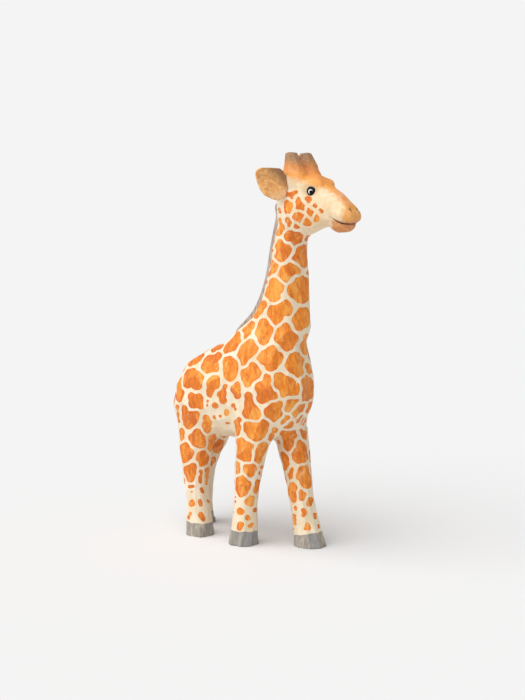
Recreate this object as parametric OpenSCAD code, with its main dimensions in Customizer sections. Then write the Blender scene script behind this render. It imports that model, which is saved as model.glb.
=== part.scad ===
// Hand-carved, painted standing giraffe, built up from glued and dowelled wood blanks.
// Millimetres, +Z up, +X towards the head, +Y the animal's left side, soles on Z = 0.

// Which node is drawn

/* [Figure] */
// Overall height from the soles to the horn tops
figure_h = 212; // [190:1:235]
// Points around each carved ring
ring_n = 28; // [16:4:28]

/* [Joinery] */
// Diameter of the four leg dowels
leg_dowel_d = 5; // [4:0.5:6]
// Length of the four leg dowels
leg_dowel_l = 18; // [14:1:22]
// Diameter of the dowel between neck and torso
neck_dowel_d = 8; // [6:0.5:10]
// Length of the dowel between neck and torso
neck_dowel_l = 28; // [20:1:34]
// Diameter of the dowel between head and neck
head_dowel_d = 6; // [4:0.5:7]
// Length of the dowel between head and neck
head_dowel_l = 20; // [14:1:24]
// Diameter of the pegs on ears, horns and tail
peg_d = 3; // [2.5:0.25:3.5]
// Glue space around every peg and dowel
glue_gap = 0.1; // [0.05:0.05:0.2]
// Extra depth at the bottom of every socket
socket_spare = 0.5; // [0.3:0.1:1]

/* [Small parts] */
// Width of the mane strip
mane_w = 5.4; // [4.4:0.1:6.2]
// How far the mane stands out of the neck
mane_proud = 4; // [3:0.1:5]
// How deep the mane sits in its groove
mane_deep = 1.8; // [1.2:0.1:2.4]
// Diameter of each eye
eye_d = 5.1; // [4:0.1:5.4]
// How far the eye's dome stands out
eye_dome = 0.9; // [0.5:0.1:1.2]
// Depth of the carved hollow in each ear
ear_hollow = 1.6; // [1:0.1:2]

/* [Hidden] */
scale_all = figure_h / 212;
// The section tables are laid out from the shoulder line; this brings the box centre to X = 0.
shoulder_x = 7.3;
body_n = 2.35;   // squareness of the torso's and legs' sections, 2 is an ellipse
neck_n = 2.2;    // squareness of the neck's, head's and horns' sections
big = 200;         // larger than the whole figure
leg_glue_z = 52;   // flat glue faces on top of the legs; each leg table has a row here

hide_col = [0.91, 0.66, 0.36];
cream_col = [0.93, 0.86, 0.70];
face_col = [0.90, 0.70, 0.45];
ear_col = [0.82, 0.60, 0.36];
horn_col = [0.60, 0.46, 0.34];
mane_col = [0.62, 0.59, 0.55];
tail_col = [0.70, 0.52, 0.36];
eye_col = [0.05, 0.05, 0.05];
beech_col = [0.82, 0.68, 0.50];

// Torso sections: x, top z, bottom z, half width
torso_rows = [
  [-59.5, 84, 75, 4], [-58, 89.5, 67, 10], [-55, 94.5, 61, 15.5], [-49.5, 99.5, 56.5, 19.5],
  [-42, 103.5, 56.2, 21.7], [-33, 107.5, 56.2, 22.5], [-20, 112, 57, 22.5], [-8, 116.5, 57.8, 21.5],
  [3, 117, 58.8, 20], [10.5, 111, 61, 18], [16, 105, 66, 14.8], [19.8, 99, 72, 10.3],
  [21.2, 93, 80, 5]
];

// Neck sections: z, centre x, centre y, half length, half width
neck_rows = [
  [88, -2, 0, 19.5, 18], [100, -2, 0, 20.4, 18], [108, -2, 0, 20.4, 16.8], [115, 0.4, 0, 19.5, 15],
  [121.5, 4.1, 0, 16.7, 13.2], [128, 7.1, 0, 14.1, 11.9], [134.5, 9.1, 0, 12.2, 11.4],
  [141, 10.5, 0, 10.8, 10.9], [148, 11.6, 0, 9.6, 10.6], [155, 12.3, 0, 8.9, 10.3],
  [163, 13.3, 0, 8.3, 10], [171, 14.5, 0, 7.6, 9.7], [179, 15.8, 0, 6.8, 9.4], [187, 16.6, 0, 6, 9]
];

// Head sections: x, top z, bottom z, half width
head_rows = [
  [8, 192, 183, 2.5], [9, 195.5, 177.5, 6], [11.5, 199.3, 170.5, 8.6], [14, 201.5, 166.8, 9.8],
  [20, 202, 167, 10.3], [26, 201.8, 168.8, 10.1], [32, 200.3, 171.3, 9.2], [36.5, 197.3, 172.8, 8.6],
  [41, 194, 174, 8.2], [46, 190.5, 174.8, 7.5], [50.5, 186.7, 175, 6.9], [54, 183.2, 175.2, 6],
  [56, 181, 176.2, 4.4], [56.6, 180, 178, 2.5]
];

// Chin sections: x, top z, bottom z, half width
chin_rows = [
  [39.5, 177, 173.6, 1.5], [42, 178.5, 171.6, 3.8], [46, 179, 170.4, 4.8],
  [50, 179, 170.6, 4.8], [53, 178.5, 172.2, 3.6], [54.2, 177, 174.2, 1.5]
];

// Leg sections: z, centre x, centre y, half length, half width
foreleg_right_rows = [
  [0, -10.5, -10.6, 8.2, 7.6], [6, -10.3, -10.7, 7.6, 7.2], [14, -9.6, -10.9, 7, 6.6],
  [24, -8.6, -11.2, 6.6, 6.4], [34, -7.4, -11.5, 6.9, 6.5], [43, -5.6, -11.8, 7.8, 6.9],
  [52, -3.8, -12, 9, 7.5], [64, -1, -12.2, 10.8, 8.4], [76, 1, -12, 12.4, 9.2],
  [88, 2, -11, 12.6, 9], [98, 2, -9, 9, 7], [104, 2, -8, 3, 3]
];
foreleg_left_rows = [
  [0, 20, 8.7, 8.6, 7.8], [6, 18.5, 8.9, 7.9, 7.3], [14, 16.3, 9.2, 7.1, 6.7],
  [24, 13.7, 9.6, 6.8, 6.4], [34, 11.2, 10.2, 7.1, 6.6], [43, 8.7, 10.8, 7.9, 7],
  [52, 6, 11.2, 9, 7.5], [64, 3, 11.4, 10.2, 8], [76, 1.6, 11.6, 11, 8.6],
  [88, 1, 11, 11.4, 8.4], [98, 1, 9, 8, 6.5], [104, 1, 8, 3, 3]
];
hindleg_right_rows = [
  [0, -43.7, -10.2, 7.9, 7.4], [6, -43.8, -10.3, 7.3, 7], [14, -44.2, -10.5, 6.8, 6.5],
  [24, -44.8, -10.8, 6.6, 6.4], [34, -45.2, -11.2, 7.3, 6.8], [43, -44.8, -11.6, 8.8, 7.4],
  [52, -44, -12, 10.4, 8.1], [64, -43, -12, 12.5, 9], [74, -43, -12, 14, 9.8],
  [84, -42, -11, 11, 8], [91, -42, -9, 5, 4], [93, -42, -8.5, 2, 2]
];
hindleg_left_rows = [
  [0, -63.7, 12.5, 7.7, 7.4], [6, -63.3, 12.3, 7.2, 7], [14, -62.9, 12.1, 6.7, 6.5],
  [24, -61.8, 12, 6.5, 6.4], [34, -60.2, 12, 6.9, 6.8], [43, -57.6, 12, 8.2, 7.4],
  [52, -53.6, 12, 10, 8.1], [64, -48.2, 12, 12.3, 9], [74, -44.5, 12, 14, 9.8],
  [84, -42, 11, 11, 8], [91, -42, 9, 5, 4], [93, -42, 8.5, 2, 2]
];

// Horn sections for the right side: z, centre x, centre y, half length, half width
horn_rows = [
  [186, 21, -4.4, 5, 2], [191, 21, -4.8, 7.4, 4], [196, 20.8, -5.2, 8.2, 4.9], [199, 20.6, -5.3, 8, 5],
  [202.4, 20.3, -5.4, 6.9, 4.7], [205.5, 19.6, -5.5, 5.6, 4.3], [208.4, 19, -5.6, 4.5, 3.8],
  [210.6, 18.7, -5.6, 3.6, 3.2], [211.6, 18.6, -5.6, 2.6, 2.4], [212, 18.6, -5.6, 1.4, 1.3]
];
horn_glue_z = 202.4; // the horn table has a row here
horn_top = 220;      // above every horn section
horn_peg_at = [19.4, -5.2];
horn_peg_l = 4.5;
horn_peg_in = 1;     // how far the peg's root reaches into the horn

// Tail sections: z, centre x, centre y, half length, half width
tail_rows = [
  [50, -59.4, 0, 1.1, 1.3], [52.5, -59.8, 0, 2, 2.3], [58, -60.6, 0, 2.3, 2.7], [63, -61.1, 0, 1.9, 2.2],
  [68, -61.3, 0, 1.4, 1.6], [76, -61.3, 0, 1.5, 1.7], [83, -61, 0, 1.8, 2], [88, -59.6, 0, 2.2, 2.2],
  [92, -57, 0, 2.6, 2.4], [95, -54, 0, 2.4, 2.2]
];
tail_peg_at = [-61, 0, 86];
tail_peg_l = 8;

// Glue planes: a point on the plane, and how far its normal leans from +Z towards +X
neck_plane = [0, 0, 106];
neck_lean = 20;
head_plane = [12.8, 0, 172];
head_lean = 30;

// Ear outline in its own plane: length out from the root, height
ear_outline = [
  [-3, -4], [1.4, -6], [3.6, -8], [5.8, -9], [9, -8.2], [13.1, -6.3], [14.9, -4.4], [16.2, -2.4],
  [17.6, 1], [18.4, 3.6], [18.7, 6], [17.6, 7.8], [15.3, 8.8], [10.4, 8.8], [5, 8.4], [2.5, 7.2],
  [0, 5.5], [-3, 4]
];
ear_root = [19.8, -9.4, 195.3];
ear_sweep = 35;      // how far the ear points backwards of straight out
ear_fn = 48;         // facets round the cup
ear_slab_l = 12;     // blank from which the ear's cup is cut
ear_ball = 30;       // radius of the cup's round back and of its hollow
ear_wall = 2.4;      // thickness between back and hollow
ear_mid = 7.5;       // how far out the cup is deepest
ear_peg_l = 9;
ear_peg_out = 3.5;    // where the peg starts inside the ear
ear_peg_back = -1.4;

// Eye place on the right side and the direction it faces
eye_at = [33, -8.3, 191.7];
eye_turn = 14;       // towards the nose
eye_shank_d = 3;
eye_shank_l = 4;
eye_seat = 0.7;      // depth of the recess that the eye is pressed into
eye_open = 3;        // how far the recess is cut clear outwards

// Where the leg dowels stand: x, y
foreleg_right_dowel = [-4.2, -12];
foreleg_left_dowel = [6.6, 11.4];
hindleg_right_dowel = [-44, -12];
hindleg_left_dowel = [-52.6, 12];

// ---------- shared shapes ----------

// One point of a squared ellipse with half sizes a and b
function squared(angle, a, b, n) = [
  a * sign(cos(angle)) * pow(abs(cos(angle)), 2 / n),
  b * sign(sin(angle)) * pow(abs(sin(angle)), 2 / n)
];

function ring_z(row, n) = [
  for (i = [0:ring_n - 1])
    let (p = squared(360 * i / ring_n, row[3], row[4], n))
    [row[1] + p[0], row[2] + p[1], row[0]]
];

function ring_x(row, n) = [
  for (i = [0:ring_n - 1])
    let (p = squared(360 * i / ring_n, row[3], (row[1] - row[2]) / 2, n))
    [row[0], p[0], (row[1] + row[2]) / 2 + p[1]]
];

// A closed skin over a list of rings that all have ring_n points
module skin(rings) {
  last = len(rings) - 1;
  points = [for (r = rings) for (p = r) p];
  sides = [
    for (k = [0:last - 1])
      for (i = [0:ring_n - 1])
        let (j = (i + 1) % ring_n, a = k * ring_n, b = (k + 1) * ring_n)
        for (t = [[a + i, b + i, b + j], [a + i, b + j, a + j]]) t
  ];
  first_cap = [for (i = [0:ring_n - 1]) i];
  last_cap = [for (i = [ring_n - 1:-1:0]) last * ring_n + i];
  polyhedron(points = points, faces = concat([first_cap], sides, [last_cap]), convexity = 6);
}

module upright(rows, n) {
  skin([for (r = rows) ring_z(r, n)]);
}

module lengthwise(rows, n) {
  skin([for (r = rows) ring_x(r, n)]);
}

// Half space on the upper side of a leaning glue plane
module above(at, lean) {
  translate(at) rotate([0, lean, 0]) translate([-big / 2, -big / 2, 0]) cube(big);
}

module below(at, lean) {
  translate(at) rotate([0, lean, 0]) translate([-big / 2, -big / 2, -big]) cube(big);
}

// A dowel with chamfered ends, centred on the glue face
module dowel(d, l) {
  chamfer = d / 8;
  rotate_extrude()
    polygon([[0, -l / 2], [d / 2 - chamfer, -l / 2], [d / 2, -l / 2 + chamfer],
             [d / 2, l / 2 - chamfer], [d / 2 - chamfer, l / 2], [0, l / 2]]);
}

module dowel_socket(d, l) {
  cylinder(d = d + 2 * glue_gap, h = l + 2 * socket_spare, center = true);
}

module at_neck_joint() {
  translate(neck_plane) rotate([0, neck_lean, 0]) children();
}

module at_head_joint() {
  translate(head_plane) rotate([0, head_lean, 0]) children();
}

module at_leg_joint(place) {
  translate([place[0], place[1], leg_glue_z]) children();
}

// Everything is drawn in table coordinates and brought into the frame here
module placed() {
  scale(scale_all) translate([shoulder_x, 0, 0]) children();
}

module mirrored_y(side) {
  scale([1, side, 1]) children();
}

// ---------- mane ----------

mane_run = [112.6, 188]; // where the strip's height dies out below and above
mane_cut = [113.4, 186]; // its square ends
mane_step = 3;
mane_rise = 10;          // how far up it reaches full height
mane_fall = 6;

neck_back = [for (r = neck_rows) [r[0], r[1] - r[3]]];

mane_levels = concat([for (z = [mane_cut[0]:mane_step:mane_cut[1]]) z], [mane_cut[1]]);

// Quarter round at both ends of the strip
function mane_height(z) =
  let (e = min(1, (z - mane_run[0]) / mane_rise, (mane_run[1] - z) / mane_fall))
  mane_proud * sqrt(e * (2 - e));

function flipped(list) = [for (i = [len(list) - 1:-1:0]) list[i]];

module mane_strip(spare) {
  rotate([90, 0, 0])
    linear_extrude(mane_w + 2 * spare, center = true)
      polygon(concat(
        [for (z = mane_levels) [lookup(z, neck_back) - mane_height(z), z]],
        [for (z = flipped(mane_levels)) [lookup(z, neck_back) + mane_deep + spare, z]]
      ));
}

// ---------- small parts, right side ----------

module at_ear() {
  translate(ear_root) rotate([0, 0, 270 - ear_sweep]) children();
}

module ear_peg(spare) {
  translate([ear_peg_out, ear_peg_back, 0])
    rotate([0, -90, 0])
      cylinder(d = peg_d + 2 * spare, h = ear_peg_l + (spare > 0 ? socket_spare : 0));
}

// A cup: the outline cut out of a shell between two balls, hollow side facing forwards
module ear_cup() {
  back = ear_ball - ear_wall / 2 - ear_hollow;
  difference() {
    intersection() {
      rotate([90, 0, 0]) linear_extrude(ear_slab_l, center = true) polygon(ear_outline);
      translate([ear_mid, back, 0]) sphere(r = ear_ball, $fn = ear_fn);
    }
    translate([ear_mid, back + ear_wall, 0]) sphere(r = ear_ball, $fn = ear_fn);
  }
}

// The ear's root follows the head's side
module ear() {
  difference() {
    at_ear() ear_cup();
    head_skin();
    horn_skin(horn_glue_z, horn_top);
  }
  at_ear() ear_peg(0);
}

module horn_skin(low, high) {
  upright([for (r = horn_rows) if (r[0] >= low && r[0] <= high) r], neck_n);
}

module horn_peg(spare) {
  deep = horn_peg_l + (spare > 0 ? socket_spare : 0);
  translate([horn_peg_at[0], horn_peg_at[1], horn_glue_z - deep])
    cylinder(d = peg_d + 2 * spare, h = deep + horn_peg_in);
}

module horn() {
  horn_skin(horn_glue_z, horn_top);
  horn_peg(0);
}

module at_eye() {
  translate(eye_at) rotate([0, 0, eye_turn]) rotate([90, 0, 0]) children();
}

module eye() {
  at_eye() {
    rotate_extrude()
      polygon(concat(
        [[0, -eye_shank_l], [eye_shank_d / 2, -eye_shank_l], [eye_shank_d / 2, -eye_seat],
         [eye_d / 2, -eye_seat], [eye_d / 2, 0]],
        [for (a = [15:15:90]) [eye_d / 2 * cos(a), eye_dome * sin(a)]]
      ));
  }
}

module eye_socket() {
  at_eye() {
    translate([0, 0, -eye_shank_l - socket_spare])
      cylinder(d = eye_shank_d + 2 * glue_gap, h = eye_shank_l + socket_spare);
    translate([0, 0, -eye_seat - glue_gap])
      cylinder(d = eye_d + 2 * glue_gap, h = eye_seat + glue_gap + eye_open);
  }
}

// ---------- nodes ----------

module leg(rows, place) {
  difference() {
    upright([for (r = rows) if (r[0] <= leg_glue_z) r], body_n);
    at_leg_joint(place) dowel_socket(leg_dowel_d, leg_dowel_l);
  }
}

module leg_muscle(rows) {
  upright([for (r = rows) if (r[0] >= leg_glue_z) r], body_n);
}

module tail_peg(spare) {
  translate(tail_peg_at) rotate([0, 90, 0])
    cylinder(d = peg_d + 2 * spare, h = tail_peg_l + (spare > 0 ? socket_spare : 0));
}

module tail_solid() {
  difference() {
    upright(tail_rows, neck_n);
    lengthwise(torso_rows, body_n);
  }
  tail_peg(0);
}

module torso_solid() {
  difference() {
    union() {
      lengthwise(torso_rows, body_n);
      leg_muscle(foreleg_left_rows);
      leg_muscle(foreleg_right_rows);
      leg_muscle(hindleg_left_rows);
      leg_muscle(hindleg_right_rows);
    }
    above(neck_plane, neck_lean);
    at_neck_joint() dowel_socket(neck_dowel_d, neck_dowel_l);
    at_leg_joint(foreleg_left_dowel) dowel_socket(leg_dowel_d, leg_dowel_l);
    at_leg_joint(foreleg_right_dowel) dowel_socket(leg_dowel_d, leg_dowel_l);
    at_leg_joint(hindleg_left_dowel) dowel_socket(leg_dowel_d, leg_dowel_l);
    at_leg_joint(hindleg_right_dowel) dowel_socket(leg_dowel_d, leg_dowel_l);
    tail_peg(glue_gap);
  }
}

module neck_solid() {
  difference() {
    upright(neck_rows, neck_n);
    below(neck_plane, neck_lean);
    above(head_plane, head_lean);
    at_neck_joint() dowel_socket(neck_dowel_d, neck_dowel_l);
    at_head_joint() dowel_socket(head_dowel_d, head_dowel_l);
    mane_strip(glue_gap);
  }
}

module head_skin() {
  lengthwise(head_rows, neck_n);
  for (side = [-1, 1]) mirrored_y(side) horn_skin(0, horn_glue_z);
}

module head_solid() {
  difference() {
    union() {
      head_skin();
      lengthwise(chin_rows, neck_n);
      upright(neck_rows, neck_n);
    }
    below(head_plane, head_lean);
    at_head_joint() dowel_socket(head_dowel_d, head_dowel_l);
    mane_strip(glue_gap);
    for (side = [-1, 1]) mirrored_y(side) {
      at_ear() ear_peg(glue_gap);
      horn_peg(glue_gap);
      eye_socket();
    }
  }
}

module torso() { color(hide_col) placed() torso_solid(); }
module neck() { color(hide_col) placed() neck_solid(); }
module head() { color(face_col) placed() head_solid(); }
module ear_right() { color(ear_col) placed() ear(); }
module ear_left() { color(ear_col) placed() mirrored_y(-1) ear(); }
module horn_right() { color(horn_col) placed() horn(); }
module horn_left() { color(horn_col) placed() mirrored_y(-1) horn(); }
module foreleg_right() { color(hide_col) placed() leg(foreleg_right_rows, foreleg_right_dowel); }
module foreleg_left() { color(hide_col) placed() leg(foreleg_left_rows, foreleg_left_dowel); }
module hindleg_right() { color(hide_col) placed() leg(hindleg_right_rows, hindleg_right_dowel); }
module hindleg_left() { color(hide_col) placed() leg(hindleg_left_rows, hindleg_left_dowel); }
module mane() { color(mane_col) placed() mane_strip(0); }
module tail() { color(tail_col) placed() tail_solid(); }
module eye_right() { color(eye_col) placed() eye(); }
module eye_left() { color(eye_col) placed() mirrored_y(-1) eye(); }
module dowel_neck() { color(beech_col) placed() at_neck_joint() dowel(neck_dowel_d, neck_dowel_l); }
module dowel_head() { color(beech_col) placed() at_head_joint() dowel(head_dowel_d, head_dowel_l); }
module dowel_foreleg_right() {
  color(beech_col) placed() at_leg_joint(foreleg_right_dowel) dowel(leg_dowel_d, leg_dowel_l);
}
module dowel_foreleg_left() {
  color(beech_col) placed() at_leg_joint(foreleg_left_dowel) dowel(leg_dowel_d, leg_dowel_l);
}
module dowel_hindleg_right() {
  color(beech_col) placed() at_leg_joint(hindleg_right_dowel) dowel(leg_dowel_d, leg_dowel_l);
}
module dowel_hindleg_left() {
  color(beech_col) placed() at_leg_joint(hindleg_left_dowel) dowel(leg_dowel_d, leg_dowel_l);
}

torso();
neck();
head();
ear_left();
ear_right();
horn_left();
horn_right();
foreleg_left();
foreleg_right();
hindleg_left();
hindleg_right();
mane();
tail();
eye_left();
eye_right();
dowel_neck();
dowel_head();
dowel_foreleg_left();
dowel_foreleg_right();
dowel_hindleg_left();
dowel_hindleg_right();
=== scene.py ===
"""Looks of the carved giraffe: knife-cut, hand-painted wood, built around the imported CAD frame."""

import math

import bmesh
import bpy
import numpy as np
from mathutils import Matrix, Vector

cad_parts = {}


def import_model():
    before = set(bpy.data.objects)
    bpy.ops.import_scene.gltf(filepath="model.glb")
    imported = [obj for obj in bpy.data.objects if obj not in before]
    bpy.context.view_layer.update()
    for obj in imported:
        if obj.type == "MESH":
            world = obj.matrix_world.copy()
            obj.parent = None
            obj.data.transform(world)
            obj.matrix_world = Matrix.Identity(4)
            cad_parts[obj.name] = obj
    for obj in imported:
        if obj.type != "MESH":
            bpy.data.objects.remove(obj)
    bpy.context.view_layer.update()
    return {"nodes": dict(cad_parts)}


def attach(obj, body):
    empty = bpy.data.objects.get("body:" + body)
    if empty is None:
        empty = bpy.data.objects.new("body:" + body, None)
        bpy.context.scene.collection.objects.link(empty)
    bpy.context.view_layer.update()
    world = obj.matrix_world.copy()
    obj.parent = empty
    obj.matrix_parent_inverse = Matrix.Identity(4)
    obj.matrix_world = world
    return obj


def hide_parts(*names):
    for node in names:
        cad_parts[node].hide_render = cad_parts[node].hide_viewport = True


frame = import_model()

# ---------- shape ----------
# All shape tables are in millimetres, laid out from the shoulder line as in the CAD source.

SHOULDER_X = 7.3  # brings the footprint's centre to X = 0
MM = 0.001
BODY_N = 2.35  # squareness of torso and legs
NECK_N = 2.2  # squareness of neck, head and horns
LEG_GLUE_Z = 52.0
HORN_GLUE_Z = 202.4
NECK_PLANE = ((0.0, 0.0, 106.0), 20.0)  # a point, and how far the normal leans forwards
HEAD_PLANE = ((12.8, 0.0, 172.0), 30.0)

# x, top z, bottom z, half width
TORSO = [
    (-59.5, 84, 75, 4), (-58, 89.5, 67, 10), (-55, 94.5, 61, 15.5), (-49.5, 99.5, 56.5, 19.5),
    (-42, 103.5, 56.2, 21.7), (-33, 107.5, 56.2, 22.5), (-20, 112, 57, 22.5), (-8, 116.5, 57.8, 21.5),
    (3, 117, 58.8, 20), (10.5, 111, 61, 18), (16, 105, 66, 14.8), (19.8, 99, 72, 10.3),
    (21.2, 93, 80, 5),
]
# z, centre x, centre y, half length, half width
NECK = [
    (88, -2, 0, 19.5, 18), (100, -2, 0, 20.4, 18), (108, -2, 0, 20.4, 16.8), (115, 0.4, 0, 19.5, 15),
    (121.5, 4.1, 0, 16.7, 13.2), (128, 7.1, 0, 14.1, 11.9), (134.5, 9.1, 0, 12.2, 11.4),
    (141, 10.5, 0, 10.8, 10.9), (148, 11.6, 0, 9.6, 10.6), (155, 12.3, 0, 8.9, 10.3),
    (163, 13.3, 0, 8.3, 10), (171, 14.5, 0, 7.6, 9.7), (179, 15.8, 0, 6.8, 9.4), (187, 16.6, 0, 6, 9),
]
# x, top z, bottom z, half width
HEAD = [
    (8, 192, 183, 2.5), (9, 195.5, 177.5, 6), (11.5, 199.3, 170.5, 8.6), (14, 201.5, 166.8, 9.8),
    (20, 202, 167, 10.3), (26, 201.8, 168.8, 10.1), (32, 200.3, 171.3, 9.2), (36.5, 197.3, 172.8, 8.6),
    (41, 194, 174, 8.2), (46, 190.5, 174.8, 7.5), (50.5, 186.7, 175, 6.9), (54, 183.2, 175.2, 6),
    (56, 181, 176.2, 4.4), (56.6, 180, 178, 2.5),
]
CHIN = [
    (39.5, 177, 173.6, 1.5), (42, 178.5, 171.6, 3.8), (46, 179, 170.4, 4.8),
    (50, 179, 170.6, 4.8), (53, 178.5, 172.2, 3.6), (54.2, 177, 174.2, 1.5),
]
# z, centre x, centre y, half length, half width
LEGS = {
    "foreleg_right": [
        (0, -10.5, -10.6, 8.2, 7.6), (6, -10.3, -10.7, 7.6, 7.2), (14, -9.6, -10.9, 7, 6.6),
        (24, -8.6, -11.2, 6.6, 6.4), (34, -7.4, -11.5, 6.9, 6.5), (43, -5.6, -11.8, 7.8, 6.9),
        (52, -3.8, -12, 9, 7.5), (64, -1, -12.2, 10.8, 8.4), (76, 1, -12, 12.4, 9.2),
        (88, 2, -11, 12.6, 9), (98, 2, -9, 9, 7), (104, 2, -8, 3, 3),
    ],
    "foreleg_left": [
        (0, 20, 8.7, 8.6, 7.8), (6, 18.5, 8.9, 7.9, 7.3), (14, 16.3, 9.2, 7.1, 6.7),
        (24, 13.7, 9.6, 6.8, 6.4), (34, 11.2, 10.2, 7.1, 6.6), (43, 8.7, 10.8, 7.9, 7),
        (52, 6, 11.2, 9.0, 7.5), (64, 3, 11.4, 10.2, 8), (76, 1.6, 11.6, 11, 8.6),
        (88, 1, 11, 11.4, 8.4), (98, 1, 9, 8, 6.5), (104, 1, 8, 3, 3),
    ],
    "hindleg_right": [
        (0, -43.7, -10.2, 7.9, 7.4), (6, -43.8, -10.3, 7.3, 7), (14, -44.2, -10.5, 6.8, 6.5),
        (24, -44.8, -10.8, 6.6, 6.4), (34, -45.2, -11.2, 7.3, 6.8), (43, -44.8, -11.6, 8.8, 7.4),
        (52, -44, -12, 10.4, 8.1), (64, -43, -12, 12.5, 9), (74, -43, -12, 14, 9.8),
        (84, -42, -11, 11, 8), (91, -42, -9, 5, 4), (93, -42, -8.5, 2, 2),
    ],
    "hindleg_left": [
        (0, -63.7, 12.5, 7.7, 7.4), (6, -63.3, 12.3, 7.2, 7), (14, -62.9, 12.1, 6.7, 6.5),
        (24, -61.8, 12, 6.5, 6.4), (34, -60.2, 12, 6.9, 6.8), (43, -57.6, 12, 8.2, 7.4),
        (52, -53.6, 12, 10, 8.1), (64, -48.2, 12, 12.3, 9), (74, -44.5, 12, 14, 9.8),
        (84, -42, 11, 11, 8), (91, -42, 9, 5, 4), (93, -42, 8.5, 2, 2),
    ],
}
# Right horn: z, centre x, centre y, half length, half width
HORN = [
    (186, 21, -4.4, 5, 2), (191, 21, -4.8, 7.4, 4), (196, 20.8, -5.2, 8.2, 4.9),
    (199, 20.6, -5.3, 8, 5), (202, 20.4, -5.4, 7.1, 4.8), (205.5, 19.6, -5.5, 5.6, 4.3),
    (208.2, 19, -5.6, 4.5, 3.8), (210.2, 18.7, -5.6, 3.6, 3.2), (211.1, 18.6, -5.6, 2.6, 2.4),
    (211.4, 18.6, -5.6, 1.4, 1.3),
]
TAIL = [
    (50, -59.4, 0, 1.1, 1.3), (52.5, -59.8, 0, 2, 2.3), (58, -60.6, 0, 2.3, 2.7),
    (63, -61.1, 0, 1.9, 2.2), (68, -61.3, 0, 1.4, 1.6), (76, -61.3, 0, 1.5, 1.7),
    (83, -61, 0, 1.8, 2), (88, -59.6, 0, 2.2, 2.2), (92, -57, 0, 2.6, 2.4), (95, -54, 0, 2.4, 2.2),
]
# Ear outline in its own plane: out from the root, height
EAR_OUTLINE = [
    (0.4, -2.5), (1.4, -6), (3.6, -8), (5.8, -9), (9, -8.2), (13.1, -6.3), (14.9, -4.4), (16.2, -2.4),
    (17.6, 1), (18.4, 3.6), (18.7, 6), (17.6, 7.8), (15.3, 8.8), (10.4, 8.8), (5, 8.4), (3, 6.9),
    (1.4, 4.2), (0.5, 1),
]
EAR_ROOT = (19.8, -9.4, 195.3)
EAR_SWEEP = math.radians(35)  # backwards of straight out
EYE_AT = (33.0, -8.6, 191.7)
EYE_TURN = math.radians(14)
EYE_R = 2.55


def eased(rows, t, samples=400):
    """The columns of a section table at t, joined by curves that never swing past the rows."""
    a = np.array(rows, float)
    xs = a[:, 0]
    grid = np.linspace(xs[0], xs[-1], samples)
    k = np.clip(np.searchsorted(xs, grid) - 1, 0, len(xs) - 2)
    h = np.diff(xs)
    u = (grid - xs[k]) / h[k]
    out = []
    for j in range(1, a.shape[1]):
        ys = a[:, j]
        d = np.diff(ys) / h
        m = np.zeros_like(ys)
        m[0], m[-1] = d[0], d[-1]
        for i in range(1, len(xs) - 1):
            if d[i - 1] * d[i] > 0:
                w1 = 2 * h[i] + h[i - 1]
                w2 = h[i] + 2 * h[i - 1]
                m[i] = (w1 + w2) / (w1 / d[i - 1] + w2 / d[i])
        curve = (
            (1 + 2 * u) * (1 - u) ** 2 * ys[k]
            + u * (1 - u) ** 2 * h[k] * m[k]
            + u * u * (3 - 2 * u) * ys[k + 1]
            + u * u * (u - 1) * h[k] * m[k + 1]
        )
        out.append(np.interp(t, grid, curve))
    return out


def smin(a, b, k):
    """Union with a blended corner k wide."""
    h = np.maximum(k - np.abs(a - b), 0) / k
    return np.minimum(a, b) - h * h * k * 0.25


def smax(a, b, k):
    """Intersection with a blended corner k wide."""
    return -smin(-a, -b, k)


def ring(u, v, ru, rv, n):
    """Distance from a squared ellipse, measured along the ray from its centre."""
    q = (np.abs(u / ru) ** n + np.abs(v / rv) ** n) ** (1 / n)
    g = np.hypot(u, v) + 1e-6
    return g * (1 - 1 / np.maximum(q, 1e-4))


def ended(d, t, low, high):
    """Closes a section's distance off at both ends of its run."""
    over = np.maximum(np.maximum(low - t, t - high), 0)
    return np.where(over > 0, np.hypot(np.maximum(d, 0), over), d)


def upright(x, y, z, rows, n):
    """A shape from sections stacked upwards."""
    cx, cy, a, b = eased(rows, z)
    return ended(ring(x - cx, y - cy, a, b, n), z, rows[0][0], rows[-1][0])


def lengthwise(x, y, z, rows, n, narrow=0.0):
    """A shape from sections set along X; narrow thins its upper half."""
    top, low, half = eased(rows, x)
    mid, tall = (top + low) / 2, (top - low) / 2
    lift = np.clip((z - mid) / tall, -1, 1)
    d = ring(y, z - mid, half * (1 - narrow * lift), tall, n)
    return ended(d, x, rows[0][0], rows[-1][0])


def ball(x, y, z, at, radii):
    """Distance from an ellipsoid, near enough for blending."""
    px, py, pz = (x - at[0]) / radii[0], (y - at[1]) / radii[1], (z - at[2]) / radii[2]
    q = np.sqrt(px**2 + py**2 + pz**2)
    g = np.sqrt((px / radii[0]) ** 2 + (py / radii[1]) ** 2 + (pz / radii[2]) ** 2) + 1e-9
    return q * (q - 1) / g


def path_distance(u, v, points):
    """Distance in a plane from an open line through the points."""
    best = np.full(np.shape(u), 1e9)
    for (u0, v0), (u1, v1) in zip(points[:-1], points[1:]):
        du, dv = u1 - u0, v1 - v0
        t = np.clip(((u - u0) * du + (v - v0) * dv) / (du * du + dv * dv), 0, 1)
        best = np.minimum(best, np.hypot(u - u0 - t * du, v - v0 - t * dv))
    return best


# x, z of the mouth line
MOUTH = [(44.8, 178.2), (47.3, 176.8), (50.3, 175.5), (53, 175.0), (57.5, 174.9)]
NOSTRIL = (54.9, 3.3, 182.2)


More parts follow.
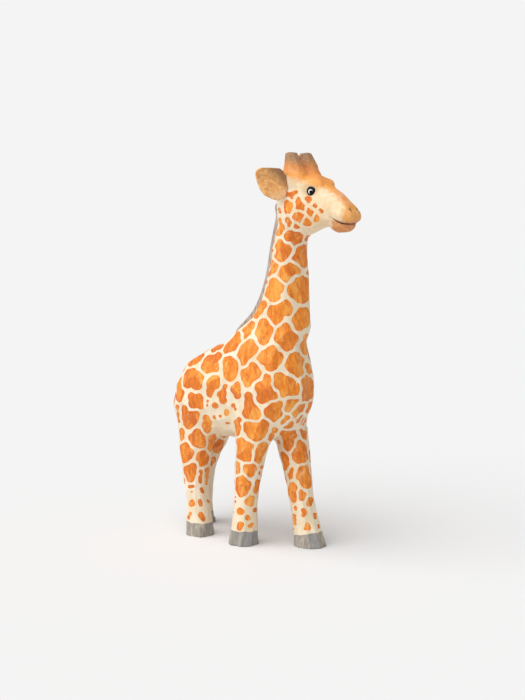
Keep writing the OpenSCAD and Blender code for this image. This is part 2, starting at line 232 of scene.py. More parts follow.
def head_shape(x, y, z):
    side = np.abs(y)
    d = lengthwise(x, y, z, HEAD, NECK_N, narrow=0.12)
    d = smin(d, lengthwise(x, y, z, CHIN, NECK_N), 2.2)
    d = smin(d, ball(x, side, z, (20.5, 5.3, 180), (9.5, 6.2, 11)), 3)  # cheek
    d = smin(d, ball(x, side, z, (31.5, 4.8, 195.3), (6.5, 3, 3)), 3)  # brow
    d = smin(d, ball(x, side, z, (49.8, 2.4, 179.9), (5, 4.4, 4.7)), 3)  # muzzle
    # the hollow round the eye
    d = smax(d, -ball(x, side, z, (EYE_AT[0] + 0.3, 10.6, EYE_AT[2] - 0.2), (4.6, 2.7, 3.4)), 1.0)
    mouth = path_distance(x, z, MOUTH)
    d = d + 0.65 * np.exp(-((mouth / 0.6) ** 2))
    near = ((x - NOSTRIL[0]) * 0.8 + (z - NOSTRIL[2]) * 0.6) ** 2 / 1.5**2
    across = (-(x - NOSTRIL[0]) * 0.6 + (z - NOSTRIL[2]) * 0.8) ** 2 / 0.6**2
    d = d + 0.8 * np.exp(-near - across - ((side - NOSTRIL[1]) / 1.6) ** 2)
    return d


def horns(x, y, z):
    return upright(x, -np.abs(y), z, HORN, NECK_N)


def body(x, y, z):
    """The whole figure without ears, tail, mane and eyes."""
    d = np.full(np.shape(z), 60.0)
    low = z < 128
    if np.any(low):
        a, b, c = x[low], y[low], z[low]
        t = lengthwise(a, b, c, TORSO, BODY_N)
        t = smin(t, upright(a, b, c, NECK, NECK_N), 9)
        for rows in LEGS.values():
            t = smin(t, upright(a, b, c, rows, BODY_N), 6)
        d[low] = np.maximum(t, -c)
    high = ~low
    if np.any(high):
        a, b, c = x[high], y[high], z[high]
        t = upright(a, b, c, NECK, NECK_N)
        t = smin(t, lengthwise(a, b, c, TORSO, BODY_N), 9)
        t = smin(t, head_shape(a, b, c), 2.5)
        d[high] = smin(t, horns(a, b, c), 1.6)
    return d


def ear_axes():
    out = np.array([-math.sin(EAR_SWEEP), -math.cos(EAR_SWEEP), 0])
    front = np.array([math.cos(EAR_SWEEP), -math.sin(EAR_SWEEP), 0])
    return out, front


def ear_local(x, y, z):
    out, front = ear_axes()
    dx, dy = x - EAR_ROOT[0], y - EAR_ROOT[1]
    return dx * out[0] + dy * out[1], z - EAR_ROOT[2], dx * front[0] + dy * front[1]


def polygon_distance(u, v, points):
    """Signed distance from a closed outline, negative inside."""
    closed = list(points) + [points[0]]
    d = path_distance(u, v, closed)
    inside = np.zeros(np.shape(u), bool)
    for (u0, v0), (u1, v1) in zip(closed[:-1], closed[1:]):
        crosses = (v0 > v) != (v1 > v)
        at = u0 + (v - v0) * (u1 - u0) / (v1 - v0 if v1 != v0 else 1e-9)
        inside ^= crosses & (u < at)
    return np.where(inside, -d, d)


# The ear's hollow runs along this line in the ear's own plane
EAR_VALLEY = [(-3, -2.5), (1.2, -0.9), (4.5, 0), (6.7, 1.3), (10.8, 4), (14.8, 4.8), (17, 3.5)]


def ear_blade(x, y, z):
    out, up, thick = ear_local(x, y, z)
    edge = polygon_distance(out, up, EAR_OUTLINE) + 0.3
    back = -2.4 + ((out - 8) ** 2 + up**2) / 74
    valley = path_distance(out, up, EAR_VALLEY)
    front = 1.9 - 3.2 * np.exp(-((valley / 4.6) ** 1.15)) + 0.35 * back
    front = np.maximum(front, back + 1.3)
    return smax(edge, smax(back - thick, thick - front, 0.5), 0.9)


def ear(x, y, z):
    return np.maximum(ear_blade(x, y, z), -body(x, y, z) - 0.3)


def tail(x, y, z):
    d = upright(x, y, z, TAIL, NECK_N)
    return np.maximum(d, -body(x, y, z))


MANE_Z = (112.6, 188.0)
MANE_HALF = 2.7  # half its width
MANE_PROUD = 4.0  # how far it stands out of the neck


def mane(x, y, z):
    ends = np.clip(np.minimum((z - MANE_Z[0]) / 10, (MANE_Z[1] - z) / 6), 0, 1)
    fade = np.sqrt(ends * (2 - ends))
    skin = body(x, y, z)
    cx = eased(NECK, z)[0]
    d = smax(skin - MANE_PROUD * fade, np.abs(y) - 0.4 - (MANE_HALF - 0.4) * fade, 0.9)
    d = np.maximum(d, -skin - 0.2)
    d = np.maximum(d, x - cx + 3.5)
    return np.maximum(d, np.maximum(MANE_Z[0] - z, z - MANE_Z[1]))


# ---------- meshing ----------


def surface(field, low, high, step):
    """Surface nets: one vertex in every cell that the surface passes through, joined by quads."""
    low = np.floor(np.array(low, float) / step) * step
    count = np.ceil((np.array(high) - low) / step).astype(int) + 1
    # the field is read on a coarse lattice first, then finely only near the skin
    block = 4
    blocks = (count + block - 1) // block
    middles = [low[i] + step * (block * np.arange(blocks[i]) + (block - 1) / 2) for i in range(3)]
    coarse = field(*(m.ravel() for m in np.meshgrid(*middles, indexing="ij"))).reshape(blocks)
    close = np.abs(coarse) < block * step * 1.3 + 2
    for axis in range(3):
        coarse = np.repeat(coarse, block, axis=axis)
        close = np.repeat(close, block, axis=axis)
    trim = tuple(slice(0, n) for n in count)
    values, close = coarse[trim].copy(), close[trim]
    at = np.argwhere(close)
    values[close] = field(*(low[i] + step * at[:, i] for i in range(3)))
    inside = values < 0
    corners = [(i, j, k) for i in (0, 1) for j in (0, 1) for k in (0, 1)]
    cells = np.array(values.shape) - 1
    filled = np.zeros(cells, np.int8)
    for i, j, k in corners:
        filled += inside[i : cells[0] + i, j : cells[1] + j, k : cells[2] + k]
    active = (filled > 0) & (filled < 8)
    index = np.full(active.shape, -1)
    index[active] = np.arange(active.sum())
    at = np.argwhere(active)
    total = np.zeros((len(at), 3))
    hits = np.zeros(len(at))
    for a in range(8):
        for b in range(a + 1, 8):
            ca, cb = np.array(corners[a]), np.array(corners[b])
            if np.abs(ca - cb).sum() != 1:
                continue
            va, vb = values[tuple((at + ca).T)], values[tuple((at + cb).T)]
            crossed = (va < 0) != (vb < 0)
            t = np.where(crossed, va / np.where(crossed, va - vb, 1), 0)
            total[crossed] += (ca + (cb - ca) * t[:, None])[crossed]
            hits[crossed] += 1
    points = low + step * (at + total / hits[:, None])
    quads = []
    for d in range(3):
        e1, e2 = [a for a in range(3) if a != d]
        first = np.take(inside, range(inside.shape[d] - 1), axis=d)
        second = np.take(inside, range(1, inside.shape[d]), axis=d)
        where = np.argwhere(first != second)
        ok = (where[:, e1] > 0) & (where[:, e2] > 0)
        ok &= (where[:, e1] < count[e1] - 1) & (where[:, e2] < count[e2] - 1)
        where = where[ok]
        ring4 = []
        for o1, o2 in ((0, 0), (1, 0), (1, 1), (0, 1)):
            cell = where.copy()
            cell[:, e1] -= o1
            cell[:, e2] -= o2
            ring4.append(index[tuple(cell.T)])
        quad = np.stack(ring4, 1)
        flip = first[tuple(where.T)]
        if d == 1:
            flip = ~flip
        quads.append(np.where(flip[:, None], quad, quad[:, ::-1]))
    return points, np.concatenate(quads)


def gradient(field, p, step=0.15):
    g = np.empty_like(p)
    for i in range(3):
        a, b = p.copy(), p.copy()
        a[:, i] += step
        b[:, i] -= step
        g[:, i] = (field(*a.T) - field(*b.T)) / (2 * step)
    return g


def settle(field, p, rounds=2, most=0.4):
    """Moves points onto the surface and returns them with their outward normals."""
    for _ in range(rounds):
        g = gradient(field, p)
        size2 = (g**2).sum(1) + 1e-9
        move = -field(*p.T)[:, None] * g / size2[:, None]
        length = np.linalg.norm(move, axis=1, keepdims=True)
        p = p + move * np.minimum(1, most / (length + 1e-9))
    g = gradient(field, p)
    return p, g / (np.linalg.norm(g, axis=1, keepdims=True) + 1e-9)


rng = np.random.default_rng(7)


def spread(p, gap, order):
    """Indexes of points that keep at least their gap from each other, picked in the given order."""
    kept = []
    places = np.empty((0, 3))
    for i in order:
        if len(kept) and ((places - p[i]) ** 2).sum(1).min() < gap[i] ** 2:
            continue
        kept.append(i)
        places = np.vstack([places, p[i]])
    return np.array(kept)


# ---------- knife facets ----------


# z, facet size
CUT_SIZE = [
    (0, 3.6), (12, 3.8), (40, 4.4), (60, 6.5), (110, 7.5), (165, 6), (175, 4.6), (200, 4.2), (204, 3.2)
]
# z, how much longer than wide a cut is
CUT_STRETCH = [
    (0, 5), (14, 3.4), (50, 3), (62, 1.3), (100, 1.3), (125, 2.4), (165, 2.4), (172, 1.2), (200, 1.2),
    (204, 2.2),
]
FIGURE_BOX = ((-76, -30, -1), (66, 30, 216))


def from_table(rows, t):
    """The second column of a table, read at t in the first."""
    return np.interp(t, *np.array(rows, float).T)


def facet_seeds():
    p, _ = surface(body, *FIGURE_BOX, 1.6)
    p, n = settle(body, p)
    stretch = from_table(CUT_STRETCH, p[:, 2])
    squeezed = p.copy()
    squeezed[:, 2] /= stretch
    # stretch changes slowly, so distances are close to right within a cut's reach
    order = rng.permutation(len(p))[:9000]
    keep = spread(squeezed, from_table(CUT_SIZE, p[:, 2]), order)
    return p[keep], n[keep], stretch[keep]


SEED_P, SEED_N, SEED_STRETCH = facet_seeds()
SEED_TONE = rng.random(len(SEED_P))
CUT_IN = 0.2  # how far a cut's plane lies under the skin it started from
CUT_LOW, CUT_HIGH = -0.3, 0.5
SCOOP = 0.011  # the blade's slight hollow
RIDGE_SOFT = 0.035  # how round the ridges are


def facets(p, n, strength):
    """Moves the skin onto the nearest cuts, which meet in narrow soft ridges.

    Also gives each point its cut's tone, and how far it is from the ridge in millimetres of height.
    """
    out = p.copy()
    tone = np.empty(len(p))
    ridge = np.empty(len(p))
    order = np.argsort(p[:, 2], kind="stable")
    for s in range(0, len(p), 3000):
        rows = order[s : s + 3000]
        q, m = p[rows], n[rows]
        low, high = q.min(0) - 20, q.max(0) + 20
        use = np.flatnonzero(np.all((SEED_P > low) & (SEED_P < high), axis=1))
        sp, sn, st = SEED_P[use], SEED_N[use], SEED_STRETCH[use]
        delta = sp[None] - q[:, None, :]
        d2 = delta[..., 0] ** 2 + delta[..., 1] ** 2 + (delta[..., 2] / st) ** 2
        turn = m @ sn.T
        d2 += 60 * np.maximum(0, 0.8 - turn) ** 2
        near = np.argpartition(d2, 7, axis=1)[:, :7]
        cut_n = sn[near]
        height = (np.take_along_axis(delta, near[..., None], 1) * cut_n).sum(2)
        facing = np.maximum(np.take_along_axis(turn, near, 1), 0.6)
        height = np.clip(height / facing, CUT_LOW, CUT_HIGH)
        score = height + SCOOP * np.take_along_axis(d2, near, 1)
        best = score.min(1, keepdims=True)
        level = best[:, 0] - RIDGE_SOFT * np.log(np.exp(-(score - best) / RIDGE_SOFT).sum(1))
        out[rows] += (strength[rows] * (level - CUT_IN))[:, None] * m
        tone[rows] = SEED_TONE[use][np.take_along_axis(near, score.argmin(1)[:, None], 1)[:, 0]]
        two = np.partition(score, 1, axis=1)
        ridge[rows] = two[:, 1] - two[:, 0]
    return out, tone, ridge


def cut_strength(p):
    """Cuts are bold on the body and fine on the face."""
    x, z = p[:, 0], p[:, 2]
    face = np.clip((z - 165 + (x - 12) * 0.4) / 8, 0, 1)
    muzzle = np.clip((x - 38) / 6, 0, 1) * (z > 165)
    near_eye = np.exp(-((x - EYE_AT[0]) ** 2 + (z - EYE_AT[2]) ** 2) / 5.0**2)
    leg = np.clip((56 - z) / 6, 0, 1)
    hoof = np.clip((9 - z) / 3, 0, 1)
    horn = np.clip((z - 199) / 4, 0, 1)
    soft = 0.35 * face + 0.3 * muzzle + 0.35 * near_eye * face
    return 1.15 - soft + 0.25 * leg + 0.35 * hoof + 0.5 * horn


# ---------- paint ----------
# Every patch is a few brush dabs: across, up, radius, on a sheet that stands at the aim point
# and faces the painter.

PAINTER = np.array([488.5, -589.7, 190.0])
AIM = np.array([0.0, -7.5, 107.0])
LOOK = (AIM - PAINTER) / np.linalg.norm(AIM - PAINTER)
ACROSS = np.cross(LOOK, [0, 0, 1])
ACROSS /= np.linalg.norm(ACROSS)
UP = np.cross(ACROSS, LOOK)

NECK_PATCHES = [
    [(14.8, 167.8, 2.6), (18.5, 166.6, 2.9)],
    [(24, 167, 1.6)],
    [(9, 176, 1), (10.2, 172.8, 1.9), (8.7, 170.2, 1.5)],
    [(6.2, 165, 0.9), (5.6, 160.5, 0.7)],
    [(9.5, 163, 2.2), (12.6, 160.5, 2.9), (9.6, 157.3, 2.4)],
    [(21.5, 160, 2.9), (19.2, 157, 2.4), (22, 154.5, 2.4)],
    [(5.2, 153, 1.6), (6, 150.8, 2.2), (3.8, 148, 1.4)],
    [(11.8, 148.3, 2.9), (15.5, 150.3, 2.7), (18.2, 149.8, 1.6), (12.2, 145.5, 1.6)],
    [(24.2, 148.2, 1.3)],
    [(1.9, 143.6, 0.9), (0.9, 140, 0.7)],
    [(6.4, 142, 2.4), (8.8, 140.5, 2.3), (4.6, 138.2, 2.3), (6.5, 135.5, 2.6)],
    [(21, 142.3, 3), (17.3, 139, 3), (21.3, 136.5, 3.6)],
    [(0.2, 131, 1.8), (-1.6, 128, 1.8), (-3.2, 125.3, 1.1)],
    [(6.5, 127.2, 3.2), (11, 128.8, 2.8), (13.3, 128.2, 2), (7.6, 123.8, 2.5), (12.8, 131.7, 1.2)],
    [(21.2, 126.3, 2.3), (19.6, 122.8, 3), (18.8, 119.5, 2)],
    [(-5.8, 119.8, 1.9), (-8, 117, 2), (-9.8, 114.4, 1.3)],
    [(0.6, 121, 2), (-1, 117.5, 2.9), (2.4, 117, 2.7), (0.2, 112.8, 2.1)],
    [(12.3, 117, 3.2), (9.5, 114.5, 2.8), (15, 113.5, 3.4), (13, 110, 2.6)],
    [(22.7, 114, 1.6), (21.8, 109, 2), (22.4, 106, 1.2)],
]
TORSO_PATCHES = [
    [(-12.6, 114.3, 1.5), (-13.6, 112, 2), (-16, 109.6, 2.6), (-18.2, 107.4, 2)],
    [(-22.5, 108.6, 1.5), (-26, 107, 1.3), (-24, 109.5, 1.5)],
    [(-33, 103.4, 1.8), (-36, 101.4, 2), (-38.4, 99.4, 1.4)],
    [(-24, 103.6, 1.6), (-27.5, 101.2, 2.6), (-29.8, 98, 2.6), (-26.5, 97.6, 2.4)],
    [(-18.5, 101, 2.3), (-17, 97, 3.3), (-17.5, 93.3, 2.2), (-15, 99.5, 2)],
    [(-6.6, 109.5, 2.4), (-8, 106.5, 3.1), (-10.3, 103.5, 2.3), (-10.5, 100.6, 1.3), (-4.8, 107, 1.8)],
    [(4.9, 107, 1.7), (1, 103.2, 2.9), (5.5, 102.5, 3.2), (8.6, 102.2, 2), (4.5, 98.8, 2.4),
     (-1.2, 102.5, 1.5)],
    [(17.2, 103, 2.2), (16, 99.3, 3.2), (19, 96.5, 3), (20.3, 100.5, 2.1), (20, 94, 1.4)],
    [(23.5, 98.2, 1.4), (24.8, 95.8, 1.5)],
    [(-4.8, 97.3, 2.4), (-7.8, 94.4, 3), (-4, 94.5, 2.6), (-8.6, 90.2, 2.2)],
    [(-38, 94, 2.4), (-35, 91.5, 2.9), (-39.3, 90.3, 2.4), (-35, 88.3, 2)],
    [(-25.2, 91, 2), (-27.6, 89, 2.1), (-25, 88.2, 1.9), (-28, 85, 1.5), (-28.6, 83, 0.9)],
    [(-44, 91, 1.3), (-44.8, 87.5, 1.5), (-44, 84, 2), (-44.3, 81.3, 1.2)],
    [(-38, 82, 1.8), (-34.5, 80.5, 2.2), (-37.3, 78, 2.2), (-33.8, 77, 1.4)],
    [(-29.8, 79.5, 0.7), (-29.9, 77.2, 0.7)],
    [(-19.9, 87.2, 0.8), (-20.9, 84, 1.7), (-23, 83.2, 1.1), (-21, 80.2, 1.4)],
    [(-13, 88.3, 1.3), (-14.2, 85.6, 2.1), (-13.2, 82.8, 1.5)],
    [(-25.4, 77.4, 1.4)],
    [(-15.6, 77.5, 1), (-14.8, 75.5, 0.6)],
    [(-19.2, 74.3, 1.1), (-19.6, 72.8, 0.9)],
    [(-26.2, 71, 0.8), (-25.3, 70.2, 0.5)],
    [(-22.5, 71.6, 0.8)],
    [(-19, 67.7, 0.6), (-17.8, 67.8, 0.5)],
    [(-7.7, 82, 1.2), (-7.3, 78.5, 1.9), (-6.3, 75, 2.7), (-8.4, 73, 2), (-3.8, 72.6, 2.2)],
    [(2.2, 91.8, 1.9), (-0.5, 87, 3), (2.3, 84.5, 3.6), (5.5, 82.8, 2.2), (0, 81, 2.3)],
    [(8.8, 92, 2), (9, 88, 2.8), (13, 88, 4), (16.5, 86.5, 3), (11.2, 85, 2.3), (17, 83.5, 1.4)],
    [(22.5, 90.5, 1.9), (24.5, 88.5, 2.9), (23.3, 84, 2.8), (22.3, 81.5, 1.3)],
    [(8.8, 77.5, 1.6), (6.5, 75.2, 2.7), (3.6, 73.3, 1.9), (8, 72.6, 2.6), (5.8, 70.8, 1.5)],
    [(18, 80.6, 1.4), (15.5, 78.2, 2.3), (13.6, 75.6, 2)],
    [(19.6, 75.4, 2.4), (17.4, 73, 1.7), (21.4, 77, 1.3)],
    [(13.8, 71, 1.6), (11.2, 68.8, 1.6)],
    [(15.4, 67.6, 1.6), (13.2, 66, 1.3)],
    [(20.6, 71.4, 1.3), (19, 69, 1.5)],
    [(25, 77.4, 1.5), (24.2, 74.6, 1.4)],
    [(22.8, 68.6, 1.7), (22, 66.6, 1.3)],
    [(22.2, 62.5, 1.5), (21, 64, 1), (23.2, 59.8, 1)],
    [(-45.3, 76, 1.4), (-45, 72, 1.4), (-44.8, 69, 1.1)],
    [(-42, 75.3, 1.3), (-41, 71, 2.3), (-36.8, 72, 2.3), (-39.5, 68, 2.6), (-37.5, 69.5, 2.2)],
    [(-30.5, 70, 1.4), (-29.2, 67.8, 1.6), (-31, 66.5, 1.3), (-29.6, 64.3, 1.6)],
    [(-43.4, 63.3, 1.6), (-43.7, 60, 1.5)],
    [(-35, 62.5, 1.5), (-34.5, 59.5, 2.8), (-38, 60, 1.3), (-33, 57, 2.2), (-36.4, 58, 1.7)],
    [(-12.5, 70, 1), (-14, 68.3, 1.2), (-13, 65.5, 1.5), (-13.4, 62.6, 1.2)],
    [(-7.8, 65.5, 2.3), (-3.5, 65, 2.6), (1, 67.2, 1.9), (-0.5, 63.3, 2.7), (-5.5, 61.8, 2.5),
     (-3.5, 59.8, 1.7)],
    [(6.4, 64, 1.4), (4.8, 61, 1.3), (3.6, 58.3, 1)],
]
HEAD_PATCHES = [
    [(13.6, 190.5, 0.9), (15.6, 189.8, 1.3), (17.5, 191, 0.8), (16, 188.2, 0.9)],
    [(13.3, 186, 1.1), (14.2, 184, 2.1), (13.8, 181.5, 1.6)],
    [(19, 186.8, 1.3), (20.2, 184.7, 2), (19.2, 183, 1.5), (21, 183, 1.3)],
    [(19, 179, 2.3), (19.3, 177.2, 1.7)],
    [(13.4, 177.7, 1), (13.2, 176.2, 1.5), (14.4, 175.2, 1.2), (13.8, 173.4, 0.7)],
    [(18, 173.3, 1.5)],
    [(23.6, 188, 0.9), (24.7, 187.5, 1.5), (25.3, 186.7, 0.8)],
    [(27.7, 185, 0.9), (28.7, 184, 0.8)],
    [(30.9, 182.2, 0.7), (31.7, 181.3, 0.7)],
    [(24.6, 182, 1.1), (26, 181.2, 1.3), (26, 179.6, 0.8)],
    [(29, 178.2, 1.3), (28.6, 177, 1.2)],
    [(23.4, 176.2, 1.3), (24.3, 175, 1.1), (22.9, 174.9, 0.9), (25.6, 174.8, 0.6)],
    [(9, 182.6, 0.7), (9.3, 181, 0.6)],
]
LEG_PATCHES = [
    # near foreleg
    [(-12, 57.5, 1.7), (-10, 54, 2.9), (-11.3, 50.5, 1.9), (-8.7, 50, 1.9), (-7.3, 55.5, 1.4)],
    [(0, 54.5, 2.1), (-1.5, 51.5, 2.1), (-2.2, 48.6, 1.7), (1.8, 56, 1)],
    [(-13.2, 46.5, 1), (-13, 43.8, 1.2), (-13.2, 41.3, 0.9)],
    [(-8.5, 44, 1.8), (-5.8, 43.8, 2), (-6.8, 41.3, 2)],
    [(-0.6, 44.3, 0.9), (-1.5, 41.3, 0.8)],
    [(-11, 37, 2), (-11.8, 34, 2.5), (-9, 34, 2.3), (-10.8, 31, 2.1)],
    [(-2.6, 35.8, 1.3), (-3.1, 32.8, 1.5), (-3.4, 30.8, 0.9)],
    [(-14.6, 28.6, 0.6), (-15, 25.8, 0.6)],
    [(-6, 27.3, 1.4), (-7.8, 26.2, 1.4), (-6.3, 25.2, 1.6)],
    [(-12.2, 20.3, 1.5), (-11.2, 20.4, 0.8)],
    [(-4, 21.3, 1.1)],
    [(-7.9, 16.7, 1.2)],
    [(-16.1, 20.2, 0.5)],
    [(-11.8, 12.8, 1.2), (-12.3, 11.4, 1)],
    [(-5.8, 13.5, 0.9), (-6.6, 12.2, 0.9)],
    [(-17, 12.8, 0.5)],
    # far foreleg
    [(11.5, 62, 1.5), (14, 60.5, 2.5), (16.3, 61.3, 1.6), (13.8, 57, 2.5), (13.5, 54.2, 1.5)],
    [(7.8, 60, 0.8), (8.8, 57.5, 1)],
    [(20, 56.3, 1.5), (21.5, 53.5, 2), (18.2, 50.8, 2.6), (21.5, 50, 2.6), (20, 47.8, 1.5)],
    [(11, 51.3, 1.2), (12, 48.3, 1.8), (12.9, 45.3, 1.3), (12.3, 43.5, 0.8)],
    [(15.6, 42.5, 1.2), (15, 40.3, 1.2), (15.2, 38.5, 0.8)],
    [(22.2, 42.5, 2.3), (20.5, 39.8, 1.9), (23.2, 38.5, 2.4), (24.5, 35.2, 1.7), (22.5, 36, 1.5)],
    [(16.2, 33.5, 2), (15.6, 30.6, 2), (16.4, 27.5, 1.4)],
    [(21, 30.6, 1.4), (22.3, 29.6, 1.1), (21, 27.9, 1.1)],
    [(25.9, 26.5, 1.4), (25.2, 25, 1.3)],
    [(17.6, 22.8, 0.8), (17.7, 21.8, 0.7)],
    [(22.2, 21, 1), (23.2, 20.3, 1), (22, 18.7, 0.8)],
    [(16.7, 17.8, 0.9), (17, 15.7, 1), (17.2, 13.8, 0.8)],
    [(28.4, 19, 0.8), (28.4, 17.3, 0.6)],
    [(24.3, 13, 1), (24.8, 11.8, 1), (23.3, 11.3, 0.7)],
    [(30.2, 13, 0.6), (30.5, 11.8, 0.5)],
    [(16.4, 11, 0.6)],
    # near hind leg
    [(-41.5, 54.5, 2), (-41, 51, 2.8), (-38.7, 51, 1.7), (-41.7, 48, 1.6)],
    [(-31.7, 51.6, 1.5), (-33.5, 49.5, 2.1), (-31, 48.8, 1.9), (-31.8, 46, 1.8)],
    [(-44.3, 47.5, 0.6), (-43.8, 44.5, 0.7)],
    [(-36.8, 44, 1.2), (-40, 42.5, 2.2), (-38, 41, 2.6), (-39, 38.7, 1.8)],
    [(-32.9, 41.5, 1.3), (-33.2, 39, 1.4), (-32.6, 37, 1.1)],
    [(-38.7, 33.6, 1.1), (-37.6, 34, 0.7)],
    [(-38.3, 31.2, 0.7)],
    [(-33, 32.4, 0.8), (-32.4, 31, 0.9)],
    [(-41.6, 29.6, 0.7), (-41.3, 27.7, 0.6)],
    [(-42.7, 37.4, 1), (-42.4, 35.2, 0.8)],
    [(-37.6, 24.5, 1.4)],
    [(-33.8, 25, 1.2), (-32.8, 24, 0.9)],
    [(-38.8, 19.2, 0.8), (-39.8, 17.2, 0.8)],
    [(-32.8, 18.3, 1.1), (-31.8, 17, 1)],
    [(-30.6, 23.6, 0.5)],
    # far hind leg
    [(-26.5, 59.5, 1.7), (-27, 55.5, 2.2), (-24, 55.5, 2.5), (-22.5, 57, 1.3)],
    [(-23, 60.6, 0.8), (-20.5, 60.6, 0.8), (-18.3, 60.8, 0.6)],
    [(-27, 47.5, 1.3), (-26, 48.3, 1), (-27.6, 45.5, 0.8)],
    [(-29.5, 42.5, 1.3), (-29.6, 39.5, 1.4), (-30, 36.6, 1)],
    [(-29.2, 25.8, 0.8)],
    [(-28.4, 32.5, 0.4)],
]


def sheet_to_skin(across, up):
    """The first point of the figure behind a point of the painter's sheet."""
    at = AIM + np.outer(across, ACROSS) + np.outer(np.array(up) - AIM[2], UP)
    ray = at - PAINTER
    ray /= np.linalg.norm(ray, axis=1, keepdims=True)
    t = np.arange(-70.0, 75.0, 0.5)
    points = at[:, None, :] + ray[:, None, :] * t[None, :, None]
    d = body(*points.reshape(-1, 3).T).reshape(len(at), -1)
    first = np.argmax(d < 0, axis=1)
    missed = ~np.any(d < 0, axis=1)
    first[missed] = np.argmin(d[missed], axis=1)
    low = np.maximum(first - 1, 0)
    rows = np.arange(len(at))
    da, db = d[rows, low], d[rows, first]
    u = np.where(missed, 1, np.clip(da / np.where(da - db == 0, 1, da - db), 0, 1))
    hit = points[rows, low] * (1 - u)[:, None] + points[rows, first] * u[:, None]
    return hit, ray


class Dabs:
    """All brush dabs: where, how big, which patch, and the sight line they were placed along."""

    def __init__(self):
        self.at = np.empty((0, 3))
        self.r = np.empty(0)
        self.patch = np.empty(0, int)
        self.ray = np.empty((0, 3))
        self.flat = np.empty(0)
        self.count = 0

    def add(self, at, r, ray=None):
        n = len(at)
        self.at = np.vstack([self.at, at])
        self.r = np.append(self.r, r)
        self.patch = np.append(self.patch, np.full(n, self.count))
        self.ray = np.vstack([self.ray, np.zeros((n, 3)) if ray is None else ray])
        self.flat = np.append(self.flat, np.full(n, 0.0 if ray is None else 0.78))
        self.count += 1

    def clear_of(self, p):
        """Distance from each point to the edge of the nearest dab."""
        return (np.linalg.norm(p[:, None] - self.at[None], axis=2) - self.r[None]).min(1)


dabs = Dabs()

OUTLINE_GAP = 1.7  # how near the visible outline a dab has to be to run on round it
OUTLINE_DROP = 4.0  # how far the skin falls away behind the outline


def paint_seen_side():
    for patch in NECK_PATCHES + TORSO_PATCHES + HEAD_PATCHES + LEG_PATCHES:
        across, up, r = np.array(patch).T
        hit, ray = sheet_to_skin(across, up)
        scale = np.linalg.norm(hit - PAINTER, axis=1) / np.linalg.norm(AIM - PAINTER)
        r = r * scale
        # a patch that almost reaches the outline of what is seen runs on round it
        _, n = settle(body, hit)
        out = n - (n * ray).sum(1, keepdims=True) * ray
        out /= np.linalg.norm(out, axis=1, keepdims=True) + 1e-9
        step = r + OUTLINE_GAP
        beyond, _ = sheet_to_skin(across + step * (out @ ACROSS), up + step * (out @ UP))
        ends = np.linalg.norm(beyond - hit, axis=1) > step + OUTLINE_DROP
        round_it, _ = settle(body, hit[ends] + out[ends] * (0.8 * r[ends, None] + 0.4))
        hit = np.vstack([hit, round_it])
        dabs.add(hit, np.append(r, r[ends]), np.vstack([ray, ray[ends]]))


def paint_mirrored():
    """The unseen side of neck, trunk and cheek repeats the seen one, a little shifted."""
    seen = dabs.count
    for i in range(len(NECK_PATCHES + TORSO_PATCHES + HEAD_PATCHES)):
        rows = dabs.patch == i
        at = dabs.at[rows] * [1, -1, 1]
        if at[:, 1].mean() < 3:
            continue
        move = np.array([rng.normal(0, 0.7), 0, rng.normal(0, 0.7)])
        r = dabs.r[rows] * rng.uniform(1.12, 1.28)
        at, _ = settle(body, at + move)
        old = dabs.patch < seen
        gap = np.linalg.norm(at[:, None] - dabs.at[None, old], axis=2) - dabs.r[None, old]
        if (gap.min(1) - r).min() < 0.5:
            continue
        dabs.add(at, r)


# z, how far apart the middles of two patches lie
PATCH_GAP = [
    (10, 4.2), (18, 4.6), (30, 5.6), (45, 6.8), (58, 7.6), (75, 9.6), (110, 9), (165, 7.4)
]


def paint_rest():
    """Fills the unpainted hide that the painter doesn't see from the front of the sheet."""
    p, _ = surface(body, *FIGURE_BOX, 1.5)
    p, n = settle(body, p)
    to_eye = PAINTER - p
    to_eye /= np.linalg.norm(to_eye, axis=1, keepdims=True)
    facing = (n * to_eye).sum(1) > -0.12
    start = p + n * 1.5
    seen = facing.copy()
    steps = np.arange(1, 60, 1.5)
    check = np.flatnonzero(facing)
    sight = start[check][:, None] + to_eye[check][:, None] * steps[None, :, None]
    blocked = (body(*sight.reshape(-1, 3).T).reshape(len(check), -1) < -0.3).any(1)
    seen[check[blocked]] = False
    x, y, z = p.T
    belly = (n[:, 2] < -0.55) & (z > 50) & (z < 90)
    face = (z > 168) & ((x > 22) | (z > 188) | (n[:, 2] < -0.4))
    under_ear = (z > 178) & (x < 12)
    strip = (np.abs(y) < 3.8) & (z > 112) & (n[:, 0] < 0.2)
    hoof = z < 10.5
    free = ~seen & ~belly & ~face & ~under_ear & ~strip & ~hoof
    p, n = p[free], n[free]
    z = p[:, 2]
    gap = from_table(PATCH_GAP, z) * rng.uniform(0.88, 1.15, len(p))
    for i in rng.permutation(len(p))[:6000]:
        size = gap[i] * 0.5
        if dabs.clear_of(p[i : i + 1])[0] < size * 0.88 + 0.5:
            continue
        side = np.cross(n[i], [0.0, 0.0, 1.0])
        side /= np.linalg.norm(side) + 1e-9
        rise = np.cross(side, n[i])
        small = np.clip((z[i] - 12) / 26, 0, 1)
        r = size * (0.42 + 0.1 * small)
        turn = rng.uniform(0, 2 * math.pi)
        at = []
        for k in range(3):
            a = turn + k * 2.1 + rng.uniform(-0.4, 0.4)
            reach = size * rng.uniform(0.18, 0.34) * (0.4 + 0.6 * small)
            at.append(p[i] + side * math.cos(a) * reach + rise * math.sin(a) * reach * 1.25)
        at, _ = settle(body, np.array(at))
        dabs.add(at, r * rng.uniform(0.85, 1.1, 3))


